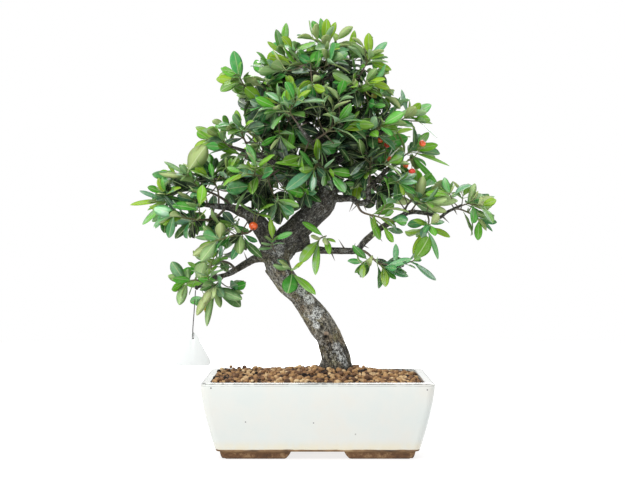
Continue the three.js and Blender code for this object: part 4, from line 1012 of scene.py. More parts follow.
def build_soil(pot, soil):
    ground = build_ground(pot, soil)
    points, faces = grain_shape()
    heap = Heap("tone")
    step = soil.grain_spacing
    row_step = step * math.sqrt(3) / 2
    half_x, half_y = ((size / 2 - pot.lip_width) / MM - 2.4 for size in (pot.length, pot.depth))
    rows, columns = int(half_y / row_step) + 1, int(half_x / step) + 1
    number = 0
    for layer in (0, 1):
        for row in range(-rows, rows + 1):
            for column in range(-columns, columns + 1):
                number += 1
                if layer and chance(number, 11) > soil.second_layer:
                    continue
                x = (column + 0.5 * (row % 2)) * step + (chance(number, 1) - 0.5) * step * 0.7
                y = row * row_step + (chance(number, 2) - 0.5) * step * 0.7
                over = [max(abs(x) - half_x + SOIL_CORNER, 0), max(abs(y) - half_y + SOIL_CORNER, 0)]
                at_trunk = math.hypot(x - TRUNK[2][0], y) < TRUNK[2][3] - 0.5
                if math.hypot(*over) <= SOIL_CORNER and not at_trunk:
                    shaped, tone = granule(points, number, x, y, layer, soil)
                    heap.add(shaped, faces, tone=tone)
    paint(ground, grain_finish(soil, "dark_ground", True))
    grains = heap.mesh("grains", [grain_finish(soil, "clay_granules", False)])
    carry(join([ground, grains]), "soil_granules", "soil", "soil")


def wood_routes():
    return [("trunk", TRUNK), *LIMBS.items()]


class WoodField:
    """Where the trunk and branches run: the nearest stem to a point, and its directions there."""

    def __init__(self):
        splits = 8
        self.samples = []
        for name, route in wood_routes():
            line = route_samples(route, splits)
            frames = frames_along([point for point, _ in line])
            along = 0.0
            for i, ((point, radius), directions) in enumerate(zip(line, frames)):
                if i:
                    along += (point - line[i - 1][0]).length
                ring = i / splits if name == "trunk" else None
                self.samples.append((point, radius, *directions, along, ring))
        self.tree = search_tree([sample[0] for sample in self.samples])

    def nearest(self, point):
        """The sample whose surface is nearest to a point."""
        found = self.tree.find_n(point, 7)
        return min((self.samples[i] for _, i, _ in found),
                   key=lambda sample: (point - sample[0]).length - sample[1])

    def gap(self, point):
        """Clear space between a point and the nearest wood, below 0 inside it."""
        sample = self.nearest(point)
        return (point - sample[0]).length - sample[1]


def within_spots(point, spots, edge):
    """How far inside the nearest round spot a point is: 0 at its edge, in shares of its radius."""
    return max(edge - (point - Vector(spot[:3])).length / spot[3] for spot in spots)


WOOD = WoodField()

# Scars and hollows in the bark, (x, y, z, radius, depth)
SCARS = [
    (10, -19, 125, 4.0, 4.6), (5, -20, 136, 3.6, 1.6), (13.5, -17, 117, 3.4, 1.2),
    (-2, -21, 146, 1.8, 1.2), (-20, -12, 236, 3.4, 2.4), (-42, -15, 205, 2.6, 1.5),
]
# Pale lichen, (x, y, z, radius)
LICHEN = [
    (-16, -18, 181, 10), (-8, -20, 169, 9), (1, -20, 154, 11), (9, -17, 158, 8), (-2, -20, 138, 7),
    (24, -16, 112, 9), (30, -15, 102, 10), (33, -13, 96, 9), (-45, -14, 224, 10), (30, 8, 120, 12),
    (2, 14, 160, 12), (-52, 12, 205, 10), (-12, 15, 250, 11),
]


def bark_relief(point, sample):
    """How far the bark stands out from the plain stem there, in millimetres, and its grain place."""
    centre, radius, forward, across, up, along, ring = sample
    offset = point - centre
    x, y = offset.dot(across), offset.dot(up)
    grain = Vector((x, y, along + offset.dot(forward)))
    angle = math.atan2(y, x)
    relief = 0.0
    if ring is not None:
        hollow = math.cos(3 * angle + ring * 0.5) + 0.6 * math.cos(5 * angle - ring * 0.3)
        relief += radius * 0.055 * hollow
    size = clamp(radius / 14, 0.16, 1)
    lumps = noise.noise(Vector((x, y, grain.z * 0.5)) * 0.11) * 1.5 * size
    ridges = noise.fractal(Vector((x, y, grain.z * 0.22)) * 0.5, 0.9, 2.1, 4)
    fine = noise.fractal(Vector((x, y, grain.z * 0.5)) * 1.3, 0.8, 2.2, 3)
    relief += lumps + (ridges * 0.55 + fine * 0.2) * mix(0.35, 1, size)
    for scar_x, scar_y, scar_z, scar_radius, depth in SCARS:
        away = (point - Vector((scar_x, scar_y, scar_z))).length / scar_radius
        if away < 2.4:
            relief += 0.9 * math.exp(-((away - 1.35) / 0.4) ** 2)
            relief -= depth * (1 - smooth_step(0.3, 1.0, away))
    return relief, grain


def build_wood(tree):
    parts = [tube(route_samples(route, 6), 7 if name == "trunk" else 4)
             for name, route in wood_routes()]
    for x, y, z, radius in KNOTS:
        knot = added(bpy.ops.mesh.primitive_uv_sphere_add, segments=24, ring_count=14,
                     radius=radius * MM, location=place((x, y, z)))
        settle(knot)
        parts.append(knot)
    obj = join(parts)
    with_modifier(obj, "REMESH", mode="VOXEL", voxel_size=tree.mesh_size)
    with_modifier(obj, "SMOOTH", factor=0.6, iterations=5)
    mesh = obj.data
    grain, old, lichen, scar = [], [], [], []
    normals = [vertex.normal.copy() for vertex in mesh.vertices]
    for vertex, normal in zip(mesh.vertices, normals):
        point = (vertex.co - place((0, 0, 0))) / MM
        sample = WOOD.nearest(point)
        relief, where = bark_relief(point, sample)
        vertex.co += normal * relief * MM
        grain += [part * MM for part in where]
        old.append(smooth_step(2.5, 8, sample[1]))
        lichen.append(smooth_step(0.0, 0.6, within_spots(point, LICHEN, 1)))
        scar.append(smooth_step(0.0, 0.6, within_spots(point, SCARS, 1.15)) * 0.9)
    mesh.attributes.new("bark_grain", "FLOAT_VECTOR", "POINT").data.foreach_set("vector", grain)
    for name, values in (("old_wood", old), ("lichen", lichen), ("scar", scar)):
        mesh.attributes.new(name, "FLOAT", "POINT").data.foreach_set("value", values)
    mesh.polygons.foreach_set("use_smooth", [True] * len(mesh.polygons))
    paint(obj, bark_finish(tree))
    carry(obj, "trunk_and_branches", "bark", "wood")


class Leaf:
    """One leaf that is still to be placed, with its upper side towards the face hint."""

    def __init__(self, base, direction, face_hint, length, arch, kind, width=0.0):
        self.base = base
        self.forward = direction.normalized()
        self.normal = face_hint.normalized()
        self.normal.z += 0.8
        self.square_up()
        self.length, self.width, self.arch, self.kind = length, width, arch, kind
        self.drawn = width > 0

    def square_up(self):
        self.normal = (self.normal - self.forward * self.normal.dot(self.forward)).normalized()

    def along(self, share=1):
        """A point on the midrib."""
        return self.base + self.forward * self.length * share


def along_route(route, share):
    """Point, direction and radius on a route, share counted in points from its start."""
    low = min(int(share), len(route) - 2)
    start, end = Vector(route[low][:3]), Vector(route[low + 1][:3])
    radius = mix(route[low][3], route[low + 1][3], share - low)
    return start.lerp(end, share - low), (end - start).normalized(), radius


def branching_off(forward, turn, angle):
    """Direction at an angle off a stem, at a turn about it counted from the upper side."""
    level = Vector((0.31, 0.47, 0.83))
    side = forward.cross(level).normalized()
    lift = side.cross(forward).normalized()
    outward = side * math.sin(turn) + lift * math.cos(turn)
    return forward * math.cos(angle) + outward * math.sin(angle), outward


def side_shoots(path, sides, seed):
    routes = []
    for i in range(sides):
        share = (len(path) - 1) * mix(0.42, 0.8, (i + 0.5) / sides)
        point, forward, _ = along_route(path, share)
        turn = i * GOLDEN_ANGLE + chance(seed, 3) * 6
        direction, _ = branching_off(forward, turn, mix(0.8, 1.1, chance(seed, 10 + i)))
        direction.z += 0.25
        length = SIDE_SHOOT_LENGTH * mix(0.75, 1.15, chance(seed, 20 + i))
        end = point + direction.normalized() * length
        routes.append([(*point, 1.2), (*end, 0.9)])
    return routes


def stem_leaves(route, first, count, usual, seed):
    """The leaves of one stem, spread round it by the golden angle."""
    leaves = []
    last = len(route) - 1
    for i in range(count):
        share = (i + 1) / count
        point, forward, radius = along_route(route, last * mix(first, 0.97, share))
        turn = i * GOLDEN_ANGLE + chance(seed, 40) * 6
        angle = mix(1.15, 0.45, share) + 0.3 * (chance(seed, 50 + i) - 0.5)
        direction, outward = branching_off(forward, turn, angle)
        direction.z += 0.3 * (chance(seed, 70 + i) - 0.4)
        hint = forward * math.sin(angle) - outward * math.cos(angle)
        length = usual * mix(0.72, 1.28, chance(seed, 90 + i)) * mix(1, 0.85, share)
        arch = mix(0.05, 0.3, chance(seed, 130 + i))
        leaves.append(Leaf(point + outward * radius * 0.35, direction, hint, length, arch, share))
    return leaves


def tip_leaves(path, tips):
    """Leaves that reach a given point, each from near the nearest point of its shoot's path."""
    leaves = []
    points = [Vector(p[:3]) for p in path]
    for i, (x, y, z, width) in enumerate(tips):
        tip = Vector((x, y, z))
        nearest = min(range(1, len(points)), key=lambda k: (points[k] - tip).length)
        backward = (points[nearest - 1] - points[nearest]).normalized()
        base = points[nearest] + backward * (TIP_LEAF_START + TIP_LEAF_STEP * i)
        hint = Vector((0.2, -0.9, 0.25 * (i % 3 - 1)))
        leaves.append(Leaf(base, tip - base, hint, (tip - base).length, 0.12, 1.0, width))
    return leaves


def leaf_shape(across, splits):
    """One flat leaf, 1 long along Y from its base and 2 wide: its upper sheet some faces across,
    its under sheet two, joined along the edge. Gives points, faces and which lie underneath."""
    edge = [point for point, _ in route_samples([(*pair, 0, 0) for pair in LEAF_OUTLINE], splits)]
    rows = len(edge) - 1
    sheets = []
    for columns, depth in ((across, 0.0), (2, -1.0)):
        sheet = added(bpy.ops.mesh.primitive_grid_add, x_subdivisions=columns,
                      y_subdivisions=rows, size=2)
        for vertex in sheet.data.vertices:
            along, half, _ = edge[round((vertex.co.y + 1) / 2 * rows)]
            inside = 1 - abs(vertex.co.x)
            vertex.co = (vertex.co.x * half, along, depth * min(inside * 2, 1))
        sheets.append(sheet)
    select_only(sheets[1])
    edit_all()
    bpy.ops.mesh.flip_normals()
    leave_edit()
    obj = join(sheets)
    edit_all()
    bpy.ops.mesh.remove_doubles(threshold=0.0005)
    bpy.ops.mesh.select_all(action="DESELECT")
    bpy.ops.mesh.select_non_manifold(use_wire=False, use_multi_face=False, use_verts=False)
    bpy.ops.mesh.fill_holes(sides=8)
    leave_edit()
    under = [int(polygon.normal.z < 0) for polygon in obj.data.polygons]
    return *taken_apart(obj), under


def bent_leaf(points, leaf, number):
    """The leaf's points in place: folded along its midrib, arched, twisted and wavy at its edge."""
    across = leaf.forward.cross(leaf.normal).normalized()
    half = leaf.width / 2
    calm = 0.35 if leaf.drawn else 1.0
    fold = mix(0.04, 0.42, chance(number, 301)) * leaf.upper * calm
    cup = mix(-0.14, 0.08, chance(number, 302)) * leaf.upper
    twist = mix(-0.4, 0.4, chance(number, 303)) * calm
    ripple = mix(0.0, 0.07, chance(number, 304)) * half * calm
    phase = chance(number, 305) * 6.3
    lean = mix(-0.09, 0.09, chance(number, 306)) * leaf.length
    blunt = 1.15 if leaf.drawn else mix(0.85, 1.25, chance(number, 307))
    shaped = []
    for point in points:
        share = point.y ** blunt
        x = point.x * half
        depth = point.z * (0.34 * 1.4 if share > 0.1 else 0.62 * 1.2)
        droop = leaf.arch * leaf.length * (share * share - share * 0.4)
        lift = fold * abs(x) + cup * x * x / max(half, 1)
        lift += ripple * abs(point.x) * math.sin(share * 15 + phase + (1.6 if x > 0 else 0))
        turn = twist * share
        sway = lean * share * (1 - share) * 2
        aside = x * math.cos(turn) - lift * math.sin(turn) + sway
        rise = x * math.sin(turn) + lift * math.cos(turn) - droop + depth * leaf.upper
        shaped.append(leaf.base + leaf.forward * share * leaf.length + across * aside
                      + leaf.normal * rise)
    return shaped


def stem_mesh(heap, samples, sides, material, age_low, age_high):
    """Adds a thin tapering stem to a heap of faces, closed at both ends."""
    frames = frames_along([point for point, _ in samples])
    last = len(samples) - 1
    points = []
    for (centre, radius), (_, across, up) in zip(samples, frames):
        for k in range(sides):
            angle = 2 * math.pi * k / sides
            points.append(place(centre + (across * math.cos(angle) + up * math.sin(angle)) * radius))
    faces = [tuple(reversed(range(sides)))]
    ages = [age_low]
    for i in range(last):
        low, high = i * sides, (i + 1) * sides
        for k in range(sides):
            nxt = (k + 1) % sides
            faces.append((low + k, low + nxt, high + nxt, high + k))
            ages.append(mix(age_low, age_high, (i + 0.5) / last))
    faces.append(tuple(last * sides + k for k in range(sides)))
    ages.append(age_high)
    heap.add(points, faces, material, age=ages)


CROWN_HEART = Vector((5, 5, 300))


def in_clearing(point, spare=0):
    """Whether a point stands in one of the clear views into the crown."""
    return point.y < 20 and any(math.hypot(point.x - x, point.z - z) < radius + spare
                                for x, z, radius in CLEARINGS)


class Foliage:
    """Places the leaves of all shoots one after another, clear of wood, box and other leaves."""

    def __init__(self, leaves):
        self.shapes = {False: leaf_shape(4, 1), True: leaf_shape(6, 2)}
        self.settings = leaves
        self.low, self.high = [(Vector(corner) - place((0, 0, 0))) / MM for corner in FRAME_BOX]
        self.cells = {}
        self.placed = []
        self.count = 0

    def inside_box(self, points):
        spare = 0.05
        return all(self.low[k] + spare < point[k] < self.high[k] - spare
                   for point in points for k in range(3))

    def crowded(self, middle):
        """Whether another leaf's middle is nearer than the least distance."""
        least = self.settings.leaf_spacing / MM
        cell = [math.floor(part / least) for part in middle]
        near = [other for i in (-1, 0, 1) for j in (-1, 0, 1) for k in (-1, 0, 1)
                for other in self.cells.get((cell[0] + i, cell[1] + j, cell[2] + k), ())]
        if any((middle - other).length < least for other in near):
            return True
        self.cells.setdefault(tuple(cell), []).append(middle)
        return False

    def free(self, leaf):
        leaf.middle = leaf.along(0.55)
        if leaf.drawn:
            self.crowded(leaf.middle)
            return True
        return (not in_clearing(leaf.middle) and WOOD.gap(leaf.middle) > 1.5
                and WOOD.gap(leaf.along()) > 1 and not self.crowded(leaf.middle))

    def within_edge(self, point):
        """Whether the camera in front sees the point inside the crown's edge."""
        camera_x, camera_y, camera_z = CAMERA
        nearer = camera_y / (camera_y - point.y)
        x, z = (point.x - camera_x) * nearer + camera_x, camera_z + (point.z - camera_z) * nearer
        crossings = 0
        for (ax, az), (bx, bz) in zip(CROWN_EDGE, CROWN_EDGE[1:] + CROWN_EDGE[:1]):
            if (az > z) != (bz > z) and x < ax + (z - az) * (bx - ax) / (bz - az):
                crossings += 1
        return crossings % 2 == 1

    def add(self, piece, leaf, brightness):
        """Places a leaf where it is free, its glossy side outwards and up, to the light."""
        self.count += 1
        number = self.count
        if not leaf.drawn:
            leaf.length *= self.settings.leaf_length
            leaf.width = leaf.length * self.settings.leaf_width * mix(
                0.8, 1.25, chance(number, 308))
            if leaf.forward.z > 0.25:
                leaf.forward.z *= 0.55
                leaf.forward.normalize()
                leaf.square_up()
        if not self.free(leaf):
            return
        outward = (leaf.base - CROWN_HEART).normalized() + Vector((0, -0.65, 0.4))
        leaf.upper = 1 if leaf.normal.dot(outward) >= 0 else -1
        if piece in PALE_SHOOTS and (leaf.drawn or chance(number, 314) < 0.5):
            leaf.upper = 1 if leaf.normal.y > 0 else -1
        points = self.shapes[leaf.drawn][0]
        for _ in range(16):
            leaf.shaped = bent_leaf(points, leaf, number)
            if self.inside_box(leaf.shaped) and (leaf.drawn or self.within_edge(leaf.along())):
                break
            leaf.length *= 0.975
            leaf.width *= 0.985
        else:
            return
        leaf.number, leaf.piece, leaf.brightness = number, piece, brightness
        self.placed.append(leaf)

    def shade(self):
        """Painted shade and light: darker leaves where others stand before them, lighter ones in the
        open.
        """
        tree = search_tree([leaf.middle for leaf in self.placed])
        for leaf in self.placed:
            outward = (leaf.middle - CROWN_HEART).normalized() * 0.7 + Vector((-0.1, -0.2, 0.6))
            before = tree.find_range(leaf.middle + outward.normalized() * 22, 24)
            depth = clamp((len(before) - 3) / 22)
            number = leaf.number
            tone = mix(0.77, 0.03, depth) + mix(-0.38, 0.22, chance(number, 310))
            tone += 0.25 * (leaf.brightness - 0.5) + 0.1 * leaf.kind * (1 - depth)
            leaf.tone = clamp(tone, 0, 0.94)
            if chance(number, 311) > 0.985 and leaf.length < 22:
                leaf.tone = 1.0
            gloss = mix(-0.3, 1.05, chance(number, 312)) + 0.4 * (1 - tone)
            leaf.gloss = clamp(gloss * (1.15 - 0.9 * depth))
            # The hue is random, and bluish on glossy, dark leaves as a painted reflection
            leaf.hue = clamp(mix(-0.15, 0.95, chance(number, 313)) + 0.5 * (leaf.gloss - tone))

    def write(self, piece, heap):
        """Adds the leaves of one piece to its heap."""
        for leaf in self.placed:
            if leaf.piece == piece:
                points, faces, under = self.shapes[leaf.drawn]
                if leaf.upper < 0:
                    faces = [tuple(reversed(face)) for face in faces]
                uvs = [((point.x + 1) / 2, point.y) for point in points]
                heap.add([place(point) for point in leaf.shaped], faces, under, uvs,
                         tone=leaf.tone, gloss=leaf.gloss, hue=leaf.hue)


class StemField:
    """Thin branches and shoots that a twig can grow from."""

    def __init__(self):
        self.points = [(sample[0], sample[1]) for sample in WOOD.samples
                       if sample[1] < 9.5 and sample[0].z > 170]
        for path, _, _, _ in SHOOTS.values():
            self.points += route_samples(path, 6)
        self.tree = search_tree([point for point, _ in self.points])

    def nearest(self, target):
        _, index, away = self.tree.find(target)
        return *self.points[index], away


def crown_twigs(leaves):
    """Routes of the thin twigs that fill each leafy part of the crown between the shoots."""
    field = StemField()
    step = leaves.twig_spacing / MM
    taken = [Vector(path[-1][:3]) for path, _, _, _ in SHOOTS.values()]
    twigs = {}
    for number, (name, mass) in enumerate(LEAF_MASSES.items()):
        middle, half = Vector(mass[:3]), mass[3:]
        cells = [range(-int(size / step) - 1, int(size / step) + 2) for size in half]
        twigs[name] = []
        for i, j, k in itertools.product(*cells):
            key = number * 4000 + (i + 9) * 361 + (j + 9) * 19 + k + 9
            offset = Vector([step * (cell + 0.7 * (chance(key, axis) - 0.5))
                             for axis, cell in enumerate((i, j, k))])
            if sum((part / size) ** 2 for part, size in zip(offset, half)) > 1:
                continue
            target = middle + offset
            base, radius, away = field.nearest(target)
            if not 7 < away < 44 or WOOD.gap(target) < 5 or in_clearing(target, 3):
                continue
            if min((target - other).length for other in taken) < 0.66 * step:
                continue
            taken.append(target)
            start = base.lerp(target, 0.5 * radius / away)
            bend = base.lerp(target, 0.55) + Vector((0, 0, -0.1 * away))
            twigs[name].append([(*start, 1.3), (*bend, 1.1), (*target, 0.8)])
    return twigs


def leaf_heap():
    return Heap("tone", "gloss", "hue", "age")


def thin_stem(heap, route, splits, share, sides, age):
    """A shoot or twig as thick as a share of its route's radius."""
    samples = [(point, radius * share) for point, radius in route_samples(route, splits)]
    stem_mesh(heap, samples, sides, 2, age, 0.9)


def build_leaves(tree, leaves):
    foliage = Foliage(leaves)
    looks = [leaf_finish(leaves, "leaf_upper", False), leaf_finish(leaves, "leaf_under", True),
             twig_finish(tree)]
    pieces = []
    for number, (name, (path, sides, usual, tips)) in enumerate((SHOOTS | SPRAYS).items()):
        seed = number * 31 + 5
        heap = leaf_heap()
        routes = [path]
        routes += [route for route in side_shoots(path, sides, seed)
                   if min(WOOD.gap(along_route(route, share)[0]) for share in (0.4, 0.7, 1)) > 1]
        wanted = tip_leaves(path, tips)
        for k, route in enumerate(routes):
            thin_stem(heap, route, 4, 0.62, 6, 0.5 if k else 0.15)
            first, count = (0.3, SIDE_SHOOT_LEAVES) if k else (0.45, MAIN_SHOOT_LEAVES)
            wanted += reversed(stem_leaves(route, first, count, usual, seed + k * 7))
        for leaf in wanted:
            foliage.add(name, leaf, chance(seed, 320))
        pieces.append((name, heap, LEAF_SLOTS[number % 5], [name] if name in SHOOTS else []))
    for number, (name, routes) in enumerate(crown_twigs(leaves).items()):
        heap = leaf_heap()
        for k, route in enumerate(routes):
            seed = 5000 + number * 900 + k * 11
            thin_stem(heap, route, 3, 0.6, 5, 0.2)
            count = leaves.twig_leaves - int(chance(seed, 1) * 3)
            for leaf in reversed(stem_leaves(route, 0.7, count, 27, seed)):
                foliage.add("twigs_" + name, leaf, chance(seed, 320))
        pieces.append(("twigs_" + name, heap, "leaf", []))
    foliage.shade()
    for name, heap, slot, nodes in pieces:
        foliage.write(name, heap)
        carry(heap.mesh("leaves_" + name, looks, "blade"), "leaves_" + name, slot, *nodes)


def build_thorns(tree):
    """Straight thorns on the thin branches, some drawn and the others by the way."""
    heap = Heap("age")
    wanted = [(Vector(base), Vector(tip) - Vector(base)) for base, tip in THORNS]
    thin = [sample for sample in WOOD.samples if 1.6 < sample[1] < 4.2]
    for i, sample in enumerate(thin):
        if i % 9 == 4:
            turn = chance(i, 401) * 6.3
            outward = sample[3] * math.cos(turn) + sample[4] * math.sin(turn)
            direction = outward + sample[2] * mix(-0.1, 0.6, chance(i, 402))
            reach = mix(7, 13, chance(i, 403))
            wanted.append((sample[0] + outward * sample[1] * 0.5, direction.normalized() * reach))
    for base, reach in wanted:
        stem_mesh(heap, [(base, 1.0), (base + reach * 0.5, 0.6), (base + reach, 0.12)], 6, 0, 0.1, 0.4)
    obj = heap.mesh("thorns", [twig_finish(tree)])
    carry(obj, "thorns", "bark")


def berry_shape():
    """One berry, 2 across: rounder than tall, with a dimple at its top and five dry sepals in it."""
    obj = added(bpy.ops.mesh.primitive_uv_sphere_add, segments=20, ring_count=14, radius=1)
    for vertex in obj.data.vertices:
        away = math.hypot(vertex.co.x, vertex.co.y)
        vertex.co.z *= 0.9
        if vertex.co.z > 0:
            vertex.co.z -= 0.22 * math.exp(-(away / 0.26) ** 2)
        else:
            vertex.co.z += 0.12 * math.exp(-(away / 0.22) ** 2)
    points, faces = taken_apart(obj)
    materials = [0] * len(faces)
    for k in range(5):
        turn = Matrix.Rotation(2 * math.pi * k / 5, 3, "Z")
        first = len(points)
        for x, y, z in ((0.02, -0.13, 0.74), (0.02, 0.13, 0.74), (0.3, 0, 0.95), (0.16, 0, 0.66)):
            points.append(turn @ Vector((x, y, z)))
        for face in ((0, 1, 3), (0, 2, 1), (1, 2, 3), (2, 0, 3)):
            faces.append(tuple(first + corner for corner in face))
            materials.append(1)
    return points, faces, materials


def build_berries(tree, berries):
    points, faces, materials = berry_shape()
    skin, twig = berry_finish(berries), twig_finish(tree)
    sepal = Finish("dry_sepals", Roughness=0.9)
    sepal.set("Base Color", sepal.ramp(
        sepal.noise(sepal.object_place(), 900), (0.3, berries.sepal), (0.7, berries.sepal_light)))
    for number, (name, (stalk, fruit)) in enumerate(BERRIES.items()):
        heap = Heap("tone", "age")
        fork = Vector(stalk[-1])
        samples = [(*point, 0.75) for point in stalk]
        stem_mesh(heap, route_samples(samples, 5), 8, 2, 0.6, 0.8)
        for k, (x, y, z, radius) in enumerate(fruit):
            centre = Vector((x, y, z))
            bend = Vector((mix(fork.x, x, 0.6), mix(fork.y, y, 0.7), mix(fork.z, z, 0.35) + 2))
            route = [(*fork, 0.6), (*bend, 0.55), (*centre, 0.6)]
            stem_mesh(heap, route_samples(route, 6), 8, 2, 0.7, 1.0)
            eye = (centre - bend).normalized()
            eye = (eye + Vector((0.15 - 0.3 * chance(number, k), -0.5, 0))).normalized()
            turn = Vector((0, 0, 1)).rotation_difference(eye).to_matrix()
            shaped = [place(centre + turn @ point * radius) for point in points]
            heap.add(shaped, faces, materials, tone=mix(0.1, 1, chance(number, k + 5)))
        obj = heap.mesh(name + "_bunch", [skin, sepal.material, twig])
        carry(obj, name + "_bunch", "berry", name)


def route_length(points):
    return sum((q - p).length for p, q in zip(points, points[1:]))


def thread_knot(middle):
    """The small knot that ends the thread."""
    knot = added(bpy.ops.mesh.primitive_uv_sphere_add, segments=16, ring_count=10,
                 radius=1.15 * MM, location=middle)
    settle(knot)
    for vertex in knot.data.vertices:
        away = vertex.co - middle
        local = away / MM
        swirl = math.sin(3 * math.atan2(local.z, local.x) + 4 * local.y)
        vertex.co += away.normalized() * 0.16 * MM * swirl
    return knot


def thread_wrap():
    """Two turns of thread round the shoot that holds the tag."""
    start, end = Vector(WRAPPED_SHOOT[0]), Vector(WRAPPED_SHOOT[1])
    wraps = []
    for share in (0.74, 0.84):
        wraps.append(added(
            bpy.ops.mesh.primitive_torus_add, major_segments=24, minor_segments=8,
            major_radius=2.15 * MM, minor_radius=0.5 * MM, location=place(start.lerp(end, share)),
            rotation=(end - start).to_track_quat("Z", "Y").to_euler()))
        settle(wraps[-1])
    return join(wraps)


def tag_card(tag):
    """A blank card with round corners and a hole, slightly curled."""
    card = added(bpy.ops.mesh.primitive_circle_add, vertices=3, radius=10 * MM, fill_type="NGON")
    for vertex, corner in zip(card.data.vertices, TAG_CORNERS):
        vertex.co = Vector(corner) * MM
    edit_all()
    bpy.ops.mesh.bevel(offset=8.6 * MM, segments=9, affect="VERTICES")
    bpy.ops.mesh.select_all(action="SELECT")
    extrude(0, tag.card_thickness, 0)
    leave_edit()
    keep_faces_outward(card)
    cut_away(card, added(
        bpy.ops.mesh.primitive_cylinder_add, vertices=28, radius=1.6 * MM, depth=6 * MM,
        location=(0, 0, -TAG_HOLE_DROP * MM), rotation=(math.radians(90), 0, 0)))
    select_only(card)
    bpy.ops.object.mode_set(mode="EDIT")
    for across in range(-15, 16, 5):
        bpy.ops.mesh.select_all(action="SELECT")
        bpy.ops.mesh.bisect(plane_co=(across * MM, 0, 0), plane_no=(1, 0, 0))
    leave_edit()
    for vertex in card.data.vertices:
        curl = 0.9 * (vertex.co.x / (20 * MM)) ** 2 * MM
        vertex.co.y += curl - tag.card_thickness / 2 - 0.3 * MM
        vertex.co = vertex.co + place(TAG_TOP)
    with_modifier(card, "BEVEL", width=0.12 * MM, segments=2, limit_method="ANGLE",
                  angle_limit=math.radians(50))
    return card


def spaced_curve(points, step):
    """Points a step apart along the centripetal Catmull-Rom curve through the given ones."""
    points = [Vector(p) for p in points]
    padded = with_ends(points)
    fine = []
    for i in range(len(points) - 1):
        a, b, c, d = padded[i:i + 4]
        before, here, after = ((c2 - c1).length ** 0.5 for c1, c2 in ((a, b), (b, c), (c, d)))
        leave = ((b - a) / before - (c - a) / (before + here) + (c - b) / here) * here
        arrive = ((c - b) / here - (d - b) / (here + after) + (d - c) / after) * here
        for k in range(40):
            t = k / 40
            fine.append(b * (2 * t ** 3 - 3 * t ** 2 + 1) + leave * (t ** 3 - 2 * t ** 2 + t)
                        + c * (3 * t ** 2 - 2 * t ** 3) + arrive * (t ** 3 - t ** 2))
    fine.append(points[-1])
    total = route_length(fine)
    count = round(total / step)
    spaced, walked, wanted = [fine[0]], 0.0, total / count
    for p, q in zip(fine, fine[1:]):
        part = (q - p).length
        while walked + part >= wanted - 1e-9 and len(spaced) <= count:
            spaced.append(p.lerp(q, (wanted - walked) / part))
            wanted += total / count
        walked += part
    return spaced


def build_tag(tag):
    """Blank rounded tag with its hole, and the thread that it hangs by."""
    x, y, z = TAG_TOP
    hole = z - TAG_HOLE_DROP
    route = spaced_curve([
        THREAD_START, (mix(THREAD_START[0], x, 0.5), y - 0.4, 155), (x, y - 1.6, z + 4),
        (x, y - 2, hole + 1.5), (x, y, hole), (x, y + 2.4, hole - 1.4),
    ], THREAD_STEP)
    strands = thread_finish(tag)
    card_look = clouded_finish("tag_card", 0.42, ((90, 2), (700, 2)), (0.4, 0.7, 0, 0.35),
                               (tag.card_colour, tag.card_shade), (0.12, 0.0002))
    thread = round_curve([(spot, 1) for spot in route], 0.55 * MM, 3)
    paint(thread, strands)
    carry(thread, "tag_thread", "thread", "thread")
    for obj, angle, look, row in (
        (thread_knot(place(route[-1])), 60, strands, ("thread_knot", "thread")),
        (thread_wrap(), 60, strands, ("thread_wrap", "thread")),
        (tag_card(tag), 30, card_look, ("blank_tag", "card", "tag")),
    ):
        smooth(obj, angle)
        paint(obj, look)
        carry(obj, *row)


def finish_screens(pot):
    plastic = clouded_finish("screen_plastic", 0.5, ((300, 4), (900, 2)), (0.5, 0.75, 0, 0.4),
                             (pot.screen_colour, pot.screen_dust), (0.2, 0.0003))
    for name in ("screen_left", "screen_right"):
        paint(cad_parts[name], plastic)


def build_stage(stage):
    scene = bpy.context.scene
    scene.view_settings.view_transform = "Standard"
    camera = added(bpy.ops.object.camera_add, rotation=(math.radians(90), 0, 0),
                   location=place((stage.camera_x, stage.camera_y, stage.camera_z)))
    camera.data.sensor_width = 36
    camera.data.lens = stage.lens
    camera.data.clip_end = 100
    scene.camera = camera
    floor = added(bpy.ops.mesh.primitive_circle_add, vertices=96, radius=stage.floor_reach,
                  fill_type="NGON", location=(0, 0, -0.0002))
    settle(floor)
    floor.name = "floor"
    paint(floor, floor_finish(stage))
    target = Vector((0, 0, 0.22))
    for name, where, size, power, colour in (
        ("key", (-1.3, -1.6, 1.7), 1.9, stage.key_power, (1, 0.99, 0.97)),
        ("fill", (1.7, -1.2, 0.9), 1.4, stage.fill_power, (0.96, 0.98, 1)),
        ("back", (0.3, 1.7, 1.5), 1.9, stage.back_power, (1, 1, 1)),
    ):
        turned = (target - Vector(where)).to_track_quat("-Z", "Y").to_euler()
        light = added(bpy.ops.object.light_add, type="AREA", location=where, rotation=turned)
        light.name = name
        light.data.size = size
        light.data.energy = power
        light.data.color = colour
    build_sky(scene, stage)


def build_sky(scene, stage):
    """Even white behind everything; as light, strongest from above, then from behind."""
    world = bpy.data.worlds.new("soft_studio")
    scene.world = world
    world.use_nodes = True
    sky = Nodes(world.node_tree)
    towards = sky.node("TexCoord", output="Generated")
    round_about = sky.node("MapRange", {
        "Value": sky.node("SeparateXYZ", {0: towards}, "Y"), "From Min": 0.1, "From Max": 0.9,
        "To Min": stage.side_light, "To Max": stage.back_wall})
    fall = sky.node("MapRange", {
        "Value": sky.node("SeparateXYZ", {0: towards}, "Z"), "To Min": round_about,
        "To Max": stage.top_light})
    seen = sky.node("LightPath", output="Is Camera Ray")
    inputs = world.node_tree.nodes["Background"].inputs
    sky.feed(inputs["Color"], (1, 1, 1, 1))
    sky.feed(inputs["Strength"], sky.node("Mix", {0: seen, 2: fall, 3: 1.0}))


def metres(name, default, description):
    return bpy.props.FloatProperty(
        name=name, description=description, default=default, min=0, unit="LENGTH", precision=4)


